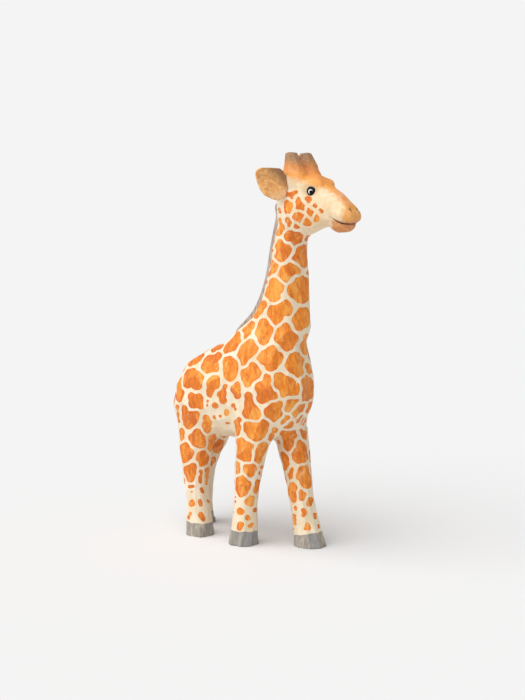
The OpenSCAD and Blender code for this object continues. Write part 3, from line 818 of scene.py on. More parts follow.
paint_seen_side()
paint_mirrored()
paint_rest()
PATCH_TONE = rng.random(dabs.count)
WOBBLE_K = rng.normal(0, 1, (10, 3)) * np.linspace(0.25, 0.85, 10)[:, None]
WOBBLE_S = rng.uniform(0, 2 * math.pi, (10, 3))
WOBBLE = 0.1  # how far patch edges wander
LINE_GAP = 1.4  # cream line left between two patches
NOWHERE = -9.0  # stands for well outside a painted zone


def wobbled(p):
    """Shifts points by a slow noise, so that patch edges wander."""
    phase = p @ WOBBLE_K.T
    return p + WOBBLE * np.stack([np.sin(phase + WOBBLE_S[:, i]).sum(1) for i in range(3)], 1)


def patch_edge(p):
    """Distance inside the nearest patch in millimetres, negative in the cream, and its tone."""
    order = np.argsort(dabs.patch, kind="stable")
    at, r, ray, flat = dabs.at[order], dabs.r[order], dabs.ray[order], dabs.flat[order]
    starts = np.searchsorted(dabs.patch[order], np.arange(dabs.count))
    biggest = np.maximum.reduceat(r, starts)
    grow = np.clip(0.42 * biggest, 0.26, 1.2)
    blend = np.clip(0.17 * biggest, 0.1, 0.45)
    edge = np.full(len(p), NOWHERE)
    tone = np.zeros(len(p))
    rows_by_z = np.argsort(p[:, 2], kind="stable")
    for s in range(0, len(p), 2500):
        rows = rows_by_z[s : s + 2500]
        q = wobbled(p[rows])
        low, high = q[:, 2].min() + NOWHERE, q[:, 2].max() - NOWHERE
        use = np.zeros(dabs.count, bool)
        use[np.unique(dabs.patch[order][(at[:, 2] > low) & (at[:, 2] < high)])] = True
        if use.sum() < 2:
            continue
        take = use[dabs.patch[order]]
        a, rr, ry, fl = at[take], r[take], ray[take], flat[take]
        ids = np.flatnonzero(use)
        begin = np.searchsorted(dabs.patch[order][take], ids)
        delta = q[:, None, :] - a[None]
        depth = (delta * ry[None]).sum(2)
        d = np.sqrt(np.maximum((delta**2).sum(2) - fl * depth**2, 1e-9)) - rr
        k = blend[ids][None]
        k_all = np.repeat(blend[ids], np.diff(np.append(begin, len(a))))[None]
        m = -k * np.log(np.add.reduceat(np.exp(np.clip(-d / k_all, -60, 60)), begin, axis=1))
        m = m - grow[ids][None]
        two = np.partition(m, 1, axis=1)[:, :2]
        best = m.argmin(1)
        own = -(two[:, 0])
        rival = (two[:, 1] - two[:, 0]) / 2 - LINE_GAP / 2
        edge[rows] = smin(own, rival, 0.4)
        tone[rows] = PATCH_TONE[ids[best]]
    return np.maximum(edge, NOWHERE), tone


# ---------- blender ----------

STEP = 0.5
HEAD_STEP = 0.36
SMALL_STEP = 0.38


# x, z of the ridge of forehead and nose
HEAD_RIDGE = [
    (14, 201.5), (22, 202), (30, 201), (36.5, 197.4), (41, 194), (46, 190.5), (50.5, 187.2), (54, 184)
]
BAND_WIDTH = [(20, 2), (27, 3.6), (33, 3.7), (38, 2.3), (46, 1.5), (54, 2.4)]


def zones(p):
    """How far inside each painted zone every point lies, in millimetres."""
    x, y, z = p.T
    side = np.abs(y)
    front = np.where(y > 0, 7.2 + 0.18 * (x - 20), 8.1)
    hoof_top = np.where(x < -25, 7.5, front) + 0.2 * np.sin(x * 0.9) + 0.15 * np.sin(y * 1.1 + 1)
    hoof = hoof_top - z
    # ochre muzzle: in front of a line that slants from the nose bridge down to the mouth corner
    muzzle = (x - 52.4) + 0.12 * (z - 180) + 0.6 * np.sin(z * 0.7 + side * 0.5)
    # orange band along forehead and nose bridge, measured down from the ridge
    below = from_table(HEAD_RIDGE, x) - z
    bridge = np.where((x > 16) & (z > 178), from_table(BAND_WIDTH, x) - below, NOWHERE)
    bridge = np.minimum(bridge, (x - 21) * 0.7)
    chin = np.minimum(x - 43 - 0.5 * (z - 172), 176.4 - z)
    chin = np.where(z > 165, chin, NOWHERE)
    face = np.where(z > 168, x - 24 + 0.3 * (z - 185), NOWHERE)
    lip = z - from_table(MOUTH, x)
    lip_end = np.where(z > 165, x - MOUTH[0][0], NOWHERE)
    horn = z - 199.5 + 0.3 * (x - 20)
    return {
        "hoof": hoof, "muzzle": muzzle, "bridge": bridge, "chin": chin, "lip": lip,
        "lip_end": lip_end, "horn": horn, "face": face,
    }


def mesh_from(name, points, faces, layers, normals):
    mesh = bpy.data.meshes.new(name)
    mesh.vertices.add(len(points))
    mesh.vertices.foreach_set("co", np.ascontiguousarray(points, np.float32).ravel())
    mesh.loops.add(faces.size)
    mesh.loops.foreach_set("vertex_index", faces.astype(np.int32).ravel())
    mesh.polygons.add(len(faces))
    mesh.polygons.foreach_set("loop_start", np.arange(0, faces.size, faces.shape[1], dtype=np.int32))
    mesh.update(calc_edges=True)
    for key, values in layers.items():
        layer = mesh.attributes.new(key, "FLOAT", "POINT")
        layer.data.foreach_set("value", values.astype(np.float32))
    skin = mesh.attributes.new("skin", "FLOAT_VECTOR", "POINT")
    skin.data.foreach_set("vector", np.ascontiguousarray(normals, np.float32).ravel())
    return mesh


def vertex_normals(points, faces):
    corners = points[faces]
    area = np.cross(corners[:, 2] - corners[:, 0], corners[:, 3] - corners[:, 1])
    total = np.zeros_like(points)
    for i in range(4):
        np.add.at(total, faces[:, i], area)
    return total / (np.linalg.norm(total, axis=1, keepdims=True) + 1e-12)


def world(p):
    """From the table's millimetres to the frame's metres."""
    return (np.asarray(p, float) + [SHOULDER_X, 0, 0]) * MM


def cut_piece(name, points, faces, layers, normals, planes, bores=(), keep=None):
    """One blank: the part of the figure behind each plane, closed flat, with its dowel holes.

    A plane is a point and an outward normal. A bore is centre, direction into the wood, radius, depth.
    """
    inside = np.ones(len(points), bool)
    if keep is not None:
        inside &= keep(points)
    for at, out in planes:
        inside &= (points - at) @ out < 2.0
    use = inside[faces].all(1)
    faces = faces[use]
    picked, faces = np.unique(faces, return_inverse=True)
    faces = faces.reshape(-1, 4)
    mesh = mesh_from(
        name, world(points[picked]), faces, {k: v[picked] for k, v in layers.items()}, normals[picked]
    )
    bm = bmesh.new()
    bm.from_mesh(mesh)
    for at, out in planes:
        cut = bmesh.ops.bisect_plane(
            bm, geom=bm.verts[:] + bm.edges[:] + bm.faces[:], dist=1e-8,
            plane_co=Vector(world(at)), plane_no=Vector(out), clear_outer=True,
        )["geom_cut"]
        rim = [e for e in cut if isinstance(e, bmesh.types.BMEdge) and len(e.link_faces) == 1]
        holes = []
        for centre, into, radius, depth in bores:
            if abs(np.dot(np.subtract(centre, at), out)) > 1e-3:
                continue
            if keep is not None and not keep(np.array([centre], float))[0]:
                continue
            holes.append(bored(bm, centre, into, radius, depth))
        bmesh.ops.triangle_fill(
            bm, use_beauty=True, use_dissolve=False, normal=Vector(out),
            edges=rim + [e for ring_edges in holes for e in ring_edges],
        )
    bmesh.ops.recalc_face_normals(bm, faces=bm.faces[:])
    bm.to_mesh(mesh)
    bm.free()
    finish_normals(mesh)
    return put(name, mesh)


def bored(bm, centre, into, radius, depth, sides=28):
    """A blind dowel hole; returns the edges of its mouth."""
    into = Vector(into).normalized()
    side = into.orthogonal().normalized()
    other = into.cross(side)
    mouth, bottom = [], []
    middle = Vector(world(centre))
    for i in range(sides):
        a = 2 * math.pi * i / sides
        spoke = (side * math.cos(a) + other * math.sin(a)) * radius * MM
        mouth.append(bm.verts.new(middle + spoke))
        bottom.append(bm.verts.new(middle + spoke + into * depth * MM))
    for i in range(sides):
        j = (i + 1) % sides
        bm.faces.new((mouth[i], mouth[j], bottom[j], bottom[i]))
    bm.faces.new(bottom[::-1])
    return [bm.edges.get((mouth[i], mouth[(i + 1) % sides])) for i in range(sides)]


def read_out(items, key, kind, width=1):
    """One property of all items of a mesh, as an array."""
    values = np.empty(len(items) * width, kind)
    items.foreach_get(key, values)
    return values.reshape(-1, width) if width > 1 else values


def finish_normals(mesh):
    """Skin corners keep the whole figure's smooth normals; cut faces stay flat and bare."""
    skin = read_out(mesh.attributes["skin"].data, "vector", np.float32, 3)
    flat = read_out(mesh.polygons, "normal", np.float32, 3)
    total = read_out(mesh.polygons, "loop_total", np.int32)
    loops = read_out(mesh.loops, "vertex_index", np.int32)
    count = len(mesh.polygons)
    owner = np.repeat(np.arange(count), total)
    agree = (skin[loops] * flat[owner]).sum(1)
    lowest = np.full(count, 2.0, np.float32)
    np.minimum.at(lowest, owner, agree)
    bare = lowest < 0.1
    chosen = np.where(bare[owner][:, None], flat[owner], skin[loops])
    mesh.polygons.foreach_set("use_smooth", np.ones(count, bool))
    mesh.polygons.foreach_set("material_index", bare.astype(np.int32))
    mesh.attributes.remove(mesh.attributes["skin"])
    mesh.normals_split_custom_set(chosen.tolist())
    mesh.update()


def put(name, mesh):
    """A scene object made from a mesh."""
    obj = bpy.data.objects.new(name, mesh)
    bpy.context.scene.collection.objects.link(obj)
    return obj


def carve(low, high, step):
    """The knife-cut, painted skin inside a box: points, faces, paint layers and normals."""
    p, f = surface(body, low, high, step)
    p, n = settle(body, p)
    height = p[:, 2].copy()
    p, cut, ridge = facets(p, n, cut_strength(p))
    # the soles stay flat on the ground
    p[:, 2] = np.maximum(height + (p[:, 2] - height) * np.clip((height - 0.5) / 3, 0, 1), 0)
    edge, tone = patch_edge(p)
    layers = {"patch": edge, "tone": tone, "cut": cut, "ridge": ridge}
    layers.update(zones(p))
    return p, f, layers, vertex_normals(p, f)


def leaning(at, degrees):
    """A glue plane's point and its normal."""
    lean = math.radians(degrees)
    return np.array(at), np.array([math.sin(lean), 0, math.cos(lean)])


neck_at, neck_out = leaning(*NECK_PLANE)
head_at, head_out = leaning(*HEAD_PLANE)
down, up_way = np.array([0, 0, -1.0]), np.array([0, 0, 1.0])
leg_at = np.array([0, 0, LEG_GLUE_Z])
horn_at = np.array([0, 0, HORN_GLUE_Z])
LEG_DOWELS = {
    "foreleg_right": (-4.2, -12), "foreleg_left": (6.6, 11.4),
    "hindleg_right": (-44, -12), "hindleg_left": (-52.6, 12),
}
LEG_BORE = (2.55, 9.3)  # radius, depth
NECK_BORE = (4.05, 14.3)
HEAD_BORE = (3.05, 10.3)

torso_bores = [((x, y, LEG_GLUE_Z), up_way, *LEG_BORE) for x, y in LEG_DOWELS.values()]
torso_bores.append((neck_at, -neck_out, *NECK_BORE))
neck_bores = [(neck_at, neck_out, *NECK_BORE), (head_at, -head_out, *HEAD_BORE)]
figure = carve((-76, -30, -1), (40, 30, 184), STEP)  # everything below the head's glue plane
top = carve((2, -16, 160), (66, 16, 216), HEAD_STEP)  # the head and the horns, more finely
made = {}
made["torso"] = cut_piece("torso_carved", *figure, [(neck_at, neck_out), (leg_at, down)], torso_bores)
made["neck"] = cut_piece("neck_carved", *figure, [(neck_at, -neck_out), (head_at, head_out)], neck_bores)
made["head"] = cut_piece(
    "head_carved", *top, [(head_at, -head_out), (horn_at, up_way)], [(head_at, head_out, *HEAD_BORE)]
)
for leg, (dowel_x, dowel_y) in LEG_DOWELS.items():
    made[leg] = cut_piece(
        leg + "_carved", *figure, [(leg_at, up_way)], [((dowel_x, dowel_y, LEG_GLUE_Z), down, *LEG_BORE)],
        keep=lambda p, sx=dowel_x, sy=dowel_y: (p[:, 1] * sy > 0) & ((p[:, 0] > -26) == (sx > -26)),
    )
for horn, way in (("horn_left", 1), ("horn_right", -1)):
    made[horn] = cut_piece(
        horn + "_carved", *top, [(horn_at, down)], keep=lambda p, way=way: p[:, 1] * way > 0
    )


def small_piece(name, field, low, high, mirrored=False, extra=None):
    p, f = surface(field, low, high, SMALL_STEP)
    p, _ = settle(field, p, rounds=1)
    if mirrored:
        p = p * [1, -1, 1]
        f = f[:, ::-1]
    n = vertex_normals(p, f)
    mesh = mesh_from(name, world(p), f, extra(p) if extra else {}, n)
    finish_normals(mesh)
    return put(name, mesh)


def ear_layers(p):
    """Where a point lies on the ear's blade, for its paint and its painted light and shade."""
    out, up, _ = ear_local(p[:, 0], -np.abs(p[:, 1]), p[:, 2])
    return {"out": out, "rise": up, "valley": path_distance(out, up, EAR_VALLEY)}


EAR_BOX = ((2, -28, 184), (24, -6, 208))
made["ear_right"] = small_piece("ear_right_carved", ear, *EAR_BOX, extra=ear_layers)
made["ear_left"] = small_piece("ear_left_carved", ear, *EAR_BOX, mirrored=True, extra=ear_layers)
made["mane"] = small_piece("mane_carved", mane, (-28, -4, 110), (14, 4, 192))
made["tail"] = small_piece("tail_carved", tail, (-66, -5, 48), (-48, 5, 98))


def eye(name, way):
    """A domed, lacquered plug with a flat back and a short shank."""
    profile = [(0, -4), (1.4, -4), (1.5, -3.8), (1.5, -0.7), (EYE_R - 0.1, -0.7), (EYE_R, -0.5)]
    profile += [(EYE_R * math.cos(a), -0.1 + 0.95 * math.sin(a)) for a in np.linspace(0, math.pi / 2, 10)]
    sides = 48
    bm = bmesh.new()
    rings = []
    for r, h in profile:
        turns = [2 * math.pi * i / sides for i in range(sides if r > 1e-6 else 1)]
        rings.append([bm.verts.new((r * math.cos(a), r * math.sin(a), h)) for a in turns])
    for a, b in zip(rings[:-1], rings[1:]):
        for i in range(sides):
            j = (i + 1) % sides
            loop = [a[i % len(a)], a[j % len(a)], b[j % len(b)], b[i % len(b)]]
            bm.faces.new(list(dict.fromkeys(loop)))
    out = Vector((math.sin(EYE_TURN), -math.cos(EYE_TURN), 0.06)).normalized()
    ahead = Vector((math.cos(EYE_TURN), math.sin(EYE_TURN), 0))
    rise = ahead.cross(out)
    mesh = bpy.data.meshes.new(name)
    for v in bm.verts:
        place = Vector(EYE_SEAT) + ahead * v.co.x + rise * v.co.y + out * v.co.z
        v.co = Vector(world((place.x, -way * place.y, place.z)))
    bmesh.ops.recalc_face_normals(bm, faces=bm.faces[:])
    bm.to_mesh(mesh)
    bm.free()
    mesh.polygons.foreach_set("use_smooth", np.ones(len(mesh.polygons), bool))
    mesh.set_sharp_from_angle(angle=math.radians(40))
    return put(name, mesh)


# The eye's seat: the skin at the eye's place, just under its rim
EYE_SEAT = settle(body, np.array([EYE_AT]), rounds=4)[0][0]
made["eye_right"] = eye("eye_right_lacquered", -1)
made["eye_left"] = eye("eye_left_lacquered", 1)


# ---------- materials ----------


def srgb(r, g, b):
    """A colour given in screen values 0-255."""
    parts = [((c / 255 + 0.055) / 1.055) ** 2.4 if c > 10 else c / 255 / 12.92 for c in (r, g, b)]
    return (*parts, 1.0)


class Finish:
    """A material and short ways to add nodes to it."""

    def __init__(self, name):
        self.material = bpy.data.materials.new(name)
        self.material.use_nodes = True
        self.tree = self.material.node_tree
        self.tree.nodes.clear()
        self.shader = self.node("BsdfPrincipled")
        self.tree.links.new(self.shader.outputs["BSDF"], self.node("OutputMaterial").inputs["Surface"])
        self.mm = self.vector("MULTIPLY", self.node("TexCoord").outputs["Object"], (1000.0,) * 3)

    def link(self, value, socket):
        if isinstance(value, bpy.types.NodeSocket):
            self.tree.links.new(value, socket)
        else:
            socket.default_value = value

    def node(self, kind, *values, **settings):
        """A node whose first inputs get the values: numbers, colours or other nodes' outputs."""
        node = self.tree.nodes.new("ShaderNode" + kind)
        for key, setting in settings.items():
            setattr(node, key, setting)
        for socket, value in zip(node.inputs, values):
            self.link(value, socket)
        return node

    def vector(self, operation, *values):
        node = self.node("VectorMath", *values, operation=operation)
        return node.outputs["Value" if operation in ("LENGTH", "DOT_PRODUCT") else "Vector"]

    def math(self, operation, *values):
        return self.node("Math", *values, operation=operation).outputs[0]

    def add(self, a, b):
        return self.math("ADD", a, b)

    def minus(self, a, b):
        return self.math("SUBTRACT", a, b)

    def times(self, a, b):
        return self.math("MULTIPLY", a, b)

    def swing(self, value, width):
        """A value of 0 to 1, moved to plus or minus half the width."""
        return self.times(self.minus(value, 0.5), width)

    def length(self, *parts):
        total = self.times(parts[0], parts[0])
        for part in parts[1:]:
            total = self.add(total, self.times(part, part))
        return self.math("SQRT", total)

    def away(self, at, scale):
        """Distance from a place in millimetres, with each axis scaled."""
        gap = self.vector("SUBTRACT", self.mm, at)
        return self.vector("LENGTH", self.vector("MULTIPLY", gap, scale))

    def height(self):
        return self.node("SeparateXYZ", self.mm).outputs["Z"]

    def layer(self, name):
        return self.node("Attribute", attribute_name=name).outputs["Fac"]

    def noise(self, scale, detail=3.0, rough=0.55, warp=0.0, shift=None):
        """Noise over millimetres scaled per axis; a small number makes long streaks."""
        node = self.node("TexNoise", self.vector("MULTIPLY", self.mm, scale))
        if shift is not None:
            node.noise_dimensions = "4D"
            self.link(shift, node.inputs["W"])
        for key, value in (("Scale", 1.0), ("Detail", detail), ("Roughness", rough), ("Distortion", warp)):
            node.inputs[key].default_value = value
        return node.outputs["Fac"]

    def span(self, value, low, high, to_low=0.0, to_high=1.0, smooth=True):
        way = "SMOOTHSTEP" if smooth else "LINEAR"
        return self.node("MapRange", value, low, high, to_low, to_high, interpolation_type=way).outputs[0]

    def mix(self, amount, a, b):
        node = self.node("Mix", amount, data_type="RGBA")
        self.link(a, node.inputs[6])
        self.link(b, node.inputs[7])
        return node.outputs[2]

    def ramp(self, value, *stops):
        node = self.node("ValToRGB", value)
        ramp = node.color_ramp
        while len(ramp.elements) < len(stops):
            ramp.elements.new(0.5)
        for element, (place, shade) in zip(ramp.elements, stops):
            element.position = place
            element.color = shade
        return node.outputs["Color"]

    def done(self, colour, rough, shine=0.3, height=None, strength=0.0, depth=0.0):
        """Sets colour, roughness, shine and relief, and gives the material."""
        if height is not None:
            bump = self.node("Bump")
            for key, value in (("Strength", strength), ("Distance", depth), ("Height", height)):
                self.link(value, bump.inputs[key])
            self.link(bump.outputs["Normal"], self.shader.inputs["Normal"])
        for key, value in (("Base Color", colour), ("Roughness", rough), ("Specular IOR Level", shine)):
            self.link(value, self.shader.inputs[key])
        return self.material


CREAM_LIT = srgb(236, 222, 198)
CREAM_DULL = srgb(224, 206, 172)
ORANGE_LIGHT = srgb(240, 163, 70)
ORANGE_MID = srgb(231, 134, 36)
ORANGE_DEEP = srgb(207, 105, 27)
OCHRE = srgb(232, 162, 82)
OCHRE_DEEP = srgb(216, 138, 62)
HOOF_LIGHT = srgb(190, 180, 166)
HOOF_DARK = srgb(134, 127, 118)
EAR_LIGHT = srgb(244, 198, 138)
EAR_DEEP = srgb(214, 148, 86)
MANE_LIGHT = srgb(200, 188, 176)
MANE_DARK = srgb(142, 126, 114)


def streaks(m, across, upward, shift=None):
    """Soft brush strokes that run up and down."""
    wide = m.noise((across * 0.42, across * 0.42, upward), 3, 0.6, 0.6, shift)
    thin = m.noise((across * 1.9, across * 1.9, upward * 1.6), 2, 0.5, 0.2, shift)
    return m.add(m.times(wide, 0.82), m.times(thin, 0.18))


def wood_lines(m):
    return m.noise((3.2, 3.2, 0.13), 2, 0.6, 0.15)


def grained(m, base, dark, most, low=0.5, high=0.75):
    """A colour with the wood's fine dark lines over it, and the lines."""
    lines = wood_lines(m)
    return m.mix(m.span(lines, low, high, 0.0, most), base, dark), lines


def nostril_place(m):
    """1 on the edge of the nostrils' painted shade, less inside."""
    # an ellipsoid, longest down the slope of the muzzle
    mirrored = m.vector("ABSOLUTE", m.mm)
    at = m.vector("SUBTRACT", mirrored, (NOSTRIL[0] + SHOULDER_X, NOSTRIL[1], NOSTRIL[2]))
    along = m.math("DIVIDE", m.vector("DOT_PRODUCT", at, (0.7, 0.1, -0.7)), 1.5)
    out = m.math("DIVIDE", m.vector("DOT_PRODUCT", at, (0.0, 1.0, 0.1)), 0.4)
    deep = m.math("DIVIDE", m.vector("DOT_PRODUCT", at, (0.7, 0.0, 0.7)), 2.0)
    return m.length(along, out, deep)


def cream_coat(m, lines, cut, blot, soft, drift):
    """The ground coat, a little thinner in places, with a tan wash over the face and painted shade round
    the eye.
    """
    cream = m.mix(m.span(blot, 0.35, 0.7), CREAM_LIT, CREAM_DULL)
    cream = m.mix(m.span(lines, 0.5, 0.72, 0.0, 0.22), cream, srgb(214, 192, 150))
    cream = m.mix(m.span(cut, 0.2, 1.0, 0.0, 0.3, False), cream, srgb(226, 206, 172))
    tan = m.times(m.span(soft, 0.38, 0.62, 0.15, 0.62), m.span(m.layer("face"), -3.0, 3.0))
    cream = m.mix(tan, cream, srgb(230, 192, 138))
    # painted shade: the hollow round the eye is darker
    eye_hollow_shade = m.away((EYE_AT[0] + SHOULDER_X - 0.8, EYE_AT[1], EYE_AT[2] + 0.8), (0.8, 0.3, 1.0))
    eye_hollow_shade = m.add(eye_hollow_shade, m.times(drift, 0.25))
    return m.mix(m.span(eye_hollow_shade, 2.4, 5.2, 0.6, 0.0), cream, srgb(190, 158, 106))


def orange_coat(m, lines, cut, fringe):
    """Loaded orange strokes, where the patches lie, and the strokes alone."""
    tone = m.layer("tone")
    shift = m.times(tone, 37.0)
    stroke = streaks(m, 0.9, 0.17, shift)
    stroke = m.add(stroke, m.swing(cut, 0.26))
    stroke = m.add(stroke, m.swing(tone, 0.08))
    orange = m.ramp(
        stroke, (0.32, ORANGE_DEEP), (0.43, srgb(219, 121, 34)), (0.54, ORANGE_MID), (0.67, ORANGE_LIGHT)
    )
    # here and there a second, darker stroke lies over the first
    second = m.noise((0.5, 0.5, 0.22), 2, 0.5, 0.8, m.add(shift, 11.0))
    orange = m.mix(m.span(second, 0.54, 0.6, 0.0, 0.6), orange, srgb(202, 98, 28))
    orange = m.mix(m.span(lines, 0.52, 0.78, 0.0, 0.14), orange, srgb(196, 102, 30))
    # paint gathers just inside a patch's dry-brushed edge
    reach = m.add(m.layer("patch"), m.swing(fringe, 0.34))
    rim = m.times(m.span(reach, 0.05, 0.22), m.span(reach, 0.25, 0.75, 1.0, 0.0))
    orange = m.mix(m.times(rim, 0.28), orange, srgb(206, 98, 30))
    # the brush skips a few pores
    pores = m.noise((2.6, 2.6, 1.1), 2, 0.5)
    orange = m.mix(m.span(pores, 0.66, 0.72, 0.0, 0.5), orange, srgb(246, 208, 150))
    return orange, m.span(reach, -0.07, 0.1), stroke


def face_paint(m, skin, drift):
    """The ochre band and muzzle with a painted highlight, the chin, and painted shade in the mouth and the
    nostrils.
    """
    wash = streaks(m, 0.8, 0.4)
    ochre = m.ramp(wash, (0.34, OCHRE_DEEP), (0.5, OCHRE), (0.66, srgb(240, 178, 102)))
    bridge = m.add(m.layer("bridge"), drift)
    skin = m.mix(m.span(bridge, -0.8, 2.2, 0.0, 0.92), skin, m.mix(0.2, srgb(240, 146, 64), ochre))
    muzzle = m.add(m.layer("muzzle"), drift)
    skin = m.mix(m.span(muzzle, -1.6, 1.8, 0.0, 0.92), skin, ochre)
    # a painted highlight on the near side of the muzzle, where it bulges out most
    muzzle_highlight = m.away((50.2 + SHOULDER_X, -6.6, 180.8), (1.0, 1.0, 0.75))
    skin = m.mix(m.span(muzzle_highlight, 0.6, 2.2, 0.6, 0.0), skin, srgb(246, 224, 180))
    chin = m.add(m.layer("chin"), m.times(drift, 0.3))
    tan = m.mix(m.span(wash, 0.4, 0.6), srgb(196, 118, 60), srgb(214, 144, 86))
    skin = m.mix(m.span(chin, -1.2, 1.2, 0.0, 0.9), skin, tan)
    # painted shade: mouth and nostrils are thin dark lines along their carved groove and pits
    end = m.layer("lip_end")
    opening = m.span(end, -0.4, 2.5, -0.1, 0.5, False)
    width = m.math("MINIMUM", opening, m.span(end, 6.0, 12.0, 0.5, 0.25, False))
    line = m.minus(width, m.math("ABSOLUTE", m.layer("lip")))
    skin = m.mix(m.span(line, -0.06, 0.06, 0.0, 0.95), skin, srgb(70, 38, 22))
    return m.mix(m.span(nostril_place(m), 1.05, 0.8, 0.0, 0.95), skin, srgb(60, 34, 22))


def horn_paint(m, skin):
    """Orange at the root, grey-brown at the tip."""
    fuzz = m.noise((1.1, 1.1, 0.7), 4, 0.7)
    horn = m.add(m.layer("horn"), m.swing(fuzz, 7.0))
    coat = m.ramp(
        m.span(horn, 0.0, 14.0, smooth=False),
        (0.0, srgb(244, 164, 76)), (0.35, srgb(224, 142, 72)), (0.64, srgb(166, 122, 84)),
        (1.0, srgb(142, 112, 86)),
    )
    dark = m.times(m.span(fuzz, 0.45, 0.65, 0.0, 0.25), m.span(horn, 2.0, 8.0))
    coat = m.mix(dark, coat, srgb(98, 76, 58))
    return m.mix(m.span(horn, -3.0, 1.6, 0.0, 0.95), skin, coat)


def hoof_paint(m, skin, cut, fringe):
    """Grey with a grain, cooler on some of the cuts."""
    grain = streaks(m, 1.5, 0.12)
    hoof = m.ramp(grain, (0.34, HOOF_DARK), (0.5, srgb(158, 149, 138)), (0.66, HOOF_LIGHT))
    hoof = m.mix(m.span(cut, 0.35, 0.6, 0.0, 0.7), hoof, srgb(134, 136, 138))
    edge = m.add(m.layer("hoof"), m.swing(fringe, 0.5))
    return m.mix(m.span(edge, -0.12, 0.12), skin, hoof)


def paint_finish():
    m = Finish("painted wood")
    lines = wood_lines(m)
    cut = m.layer("cut")
    blot = m.noise((0.16, 0.16, 0.09), 3, 0.6, 0.3)
    soft = m.noise((0.45, 0.45, 0.35), 3, 0.6)
    fringe = m.noise((1.5, 1.5, 0.8), 3, 0.6)
    drift = m.swing(soft, 5.0)
    cream = cream_coat(m, lines, cut, blot, soft, drift)
    orange, patches, stroke = orange_coat(m, lines, cut, fringe)
    skin = face_paint(m, m.mix(patches, cream, orange), drift)
    skin = hoof_paint(m, horn_paint(m, skin), cut, fringe)
    # paint is thin on the ridges between cuts
    worn = m.times(m.span(m.layer("ridge"), 0.0, 0.07, 1.0, 0.0), m.span(blot, 0.35, 0.6))
    skin = m.mix(m.times(worn, 0.2), skin, srgb(250, 226, 186))
    height = m.add(m.times(lines, 0.5), m.times(stroke, 0.5))
    return m.done(skin, m.span(stroke, 0.3, 0.7, 0.62, 0.5, False), 0.32, height, 0.25, 0.0002)


def bare_finish(name, light, dark):
    m = Finish(name)
    rings = m.noise((0.9, 0.9, 0.05), 3, 0.6, 1.0)
    wood = m.mix(m.span(rings, 0.35, 0.65), light, dark)
    wood, lines = grained(m, wood, srgb(160, 118, 72), 0.35)
    return m.done(wood, 0.62, 0.3, lines, 0.3, 0.0002)


def ear_finish():
    m = Finish("ear paint and painted shade")
    fuzz = m.noise((0.9, 0.9, 0.9), 4, 0.65)
    strokes = m.noise((0.5, 0.5, 0.6), 4, 0.6, 0.4)
    base = m.ramp(strokes, (0.34, EAR_DEEP), (0.5, srgb(230, 170, 104)), (0.66, EAR_LIGHT))
    out, rise = m.layer("out"), m.layer("rise")
    # painted light and shade: the upper inner fold is darker, partly brown paint and partly painted shade,
    # and the lower outer part is paler, painted light
    shade = m.add(m.minus(rise, m.times(out, 0.85)), m.swing(fuzz, 6.0))
    base = m.mix(m.span(shade, -6.5, 2.0, 0.0, 0.85), base, srgb(130, 92, 66))
    low = m.minus(m.times(out, -0.4), rise)
    base = m.mix(m.span(low, -0.5, 6.0, 0.0, 0.5), base, srgb(232, 206, 166))
    # painted shade along the ear's valley crease
    base = m.mix(m.span(m.layer("valley"), 0.15, 0.8, 0.45, 0.0), base, srgb(176, 116, 64))
    base, lines = grained(m, base, srgb(150, 98, 58), 0.07, 0.52, 0.78)
    return m.done(base, 0.58, 0.3, m.add(m.times(lines, 0.4), m.times(strokes, 0.6)), 0.15, 0.0002)


def mane_finish():
    m = Finish("mane paint")
    strokes = m.noise((1.4, 1.4, 0.25), 4, 0.65, 0.3)
    base = m.ramp(strokes, (0.32, MANE_DARK), (0.5, srgb(176, 162, 150)), (0.68, MANE_LIGHT))
    base, lines = grained(m, base, srgb(116, 98, 86), 0.4)
    return m.done(base, 0.6, 0.3, m.add(lines, strokes), 0.3, 0.0003)


def tail_finish():
    """Orange above, with a grey tuft."""
    m = Finish("tail paint")
    fuzz = m.noise((0.8, 0.8, 0.4), 4, 0.65)
    orange = m.ramp(fuzz, (0.35, ORANGE_DEEP), (0.5, ORANGE_MID), (0.65, ORANGE_LIGHT))
    tuft = m.mix(m.span(fuzz, 0.4, 0.6), HOOF_DARK, srgb(150, 132, 116))
    base = m.mix(m.span(m.add(m.height(), m.swing(fuzz, 10.0)), 62.0, 68.0), tuft, orange)
    base, lines = grained(m, base, srgb(120, 84, 54), 0.3)
    return m.done(base, 0.58, 0.3, m.add(lines, fuzz), 0.3, 0.0003)


def eye_finish():
    """Black lacquer with a painted white crescent, open towards the lower front."""
    m = Finish("eye lacquer")
    at = m.vector("SUBTRACT", m.mm, (EYE_SEAT[0] + SHOULDER_X, 0, EYE_SEAT[2]))
    parts = m.node("SeparateXYZ", at)
    u = m.minus(m.math("DIVIDE", parts.outputs["X"], math.cos(EYE_TURN)), 0.15)
    v = m.add(parts.outputs["Z"], 0.35)
    disc = m.span(m.length(u, v), 1.2, 1.32, 1.0, 0.0)
    bite = m.span(m.length(m.minus(u, 0.32), m.add(v, 0.28)), 1.02, 1.14)
    brush = m.noise((2.0, 2.0, 2.0), 2, 0.5)
    black = m.mix(m.span(brush, 0.4, 0.7), srgb(8, 8, 9), srgb(18, 17, 17))
    lacquer = m.mix(m.times(disc, bite), black, srgb(244, 244, 240))
    return m.done(lacquer, m.span(brush, 0.3, 0.7, 0.1, 0.16), 0.14, brush, 0.05, 0.0001)


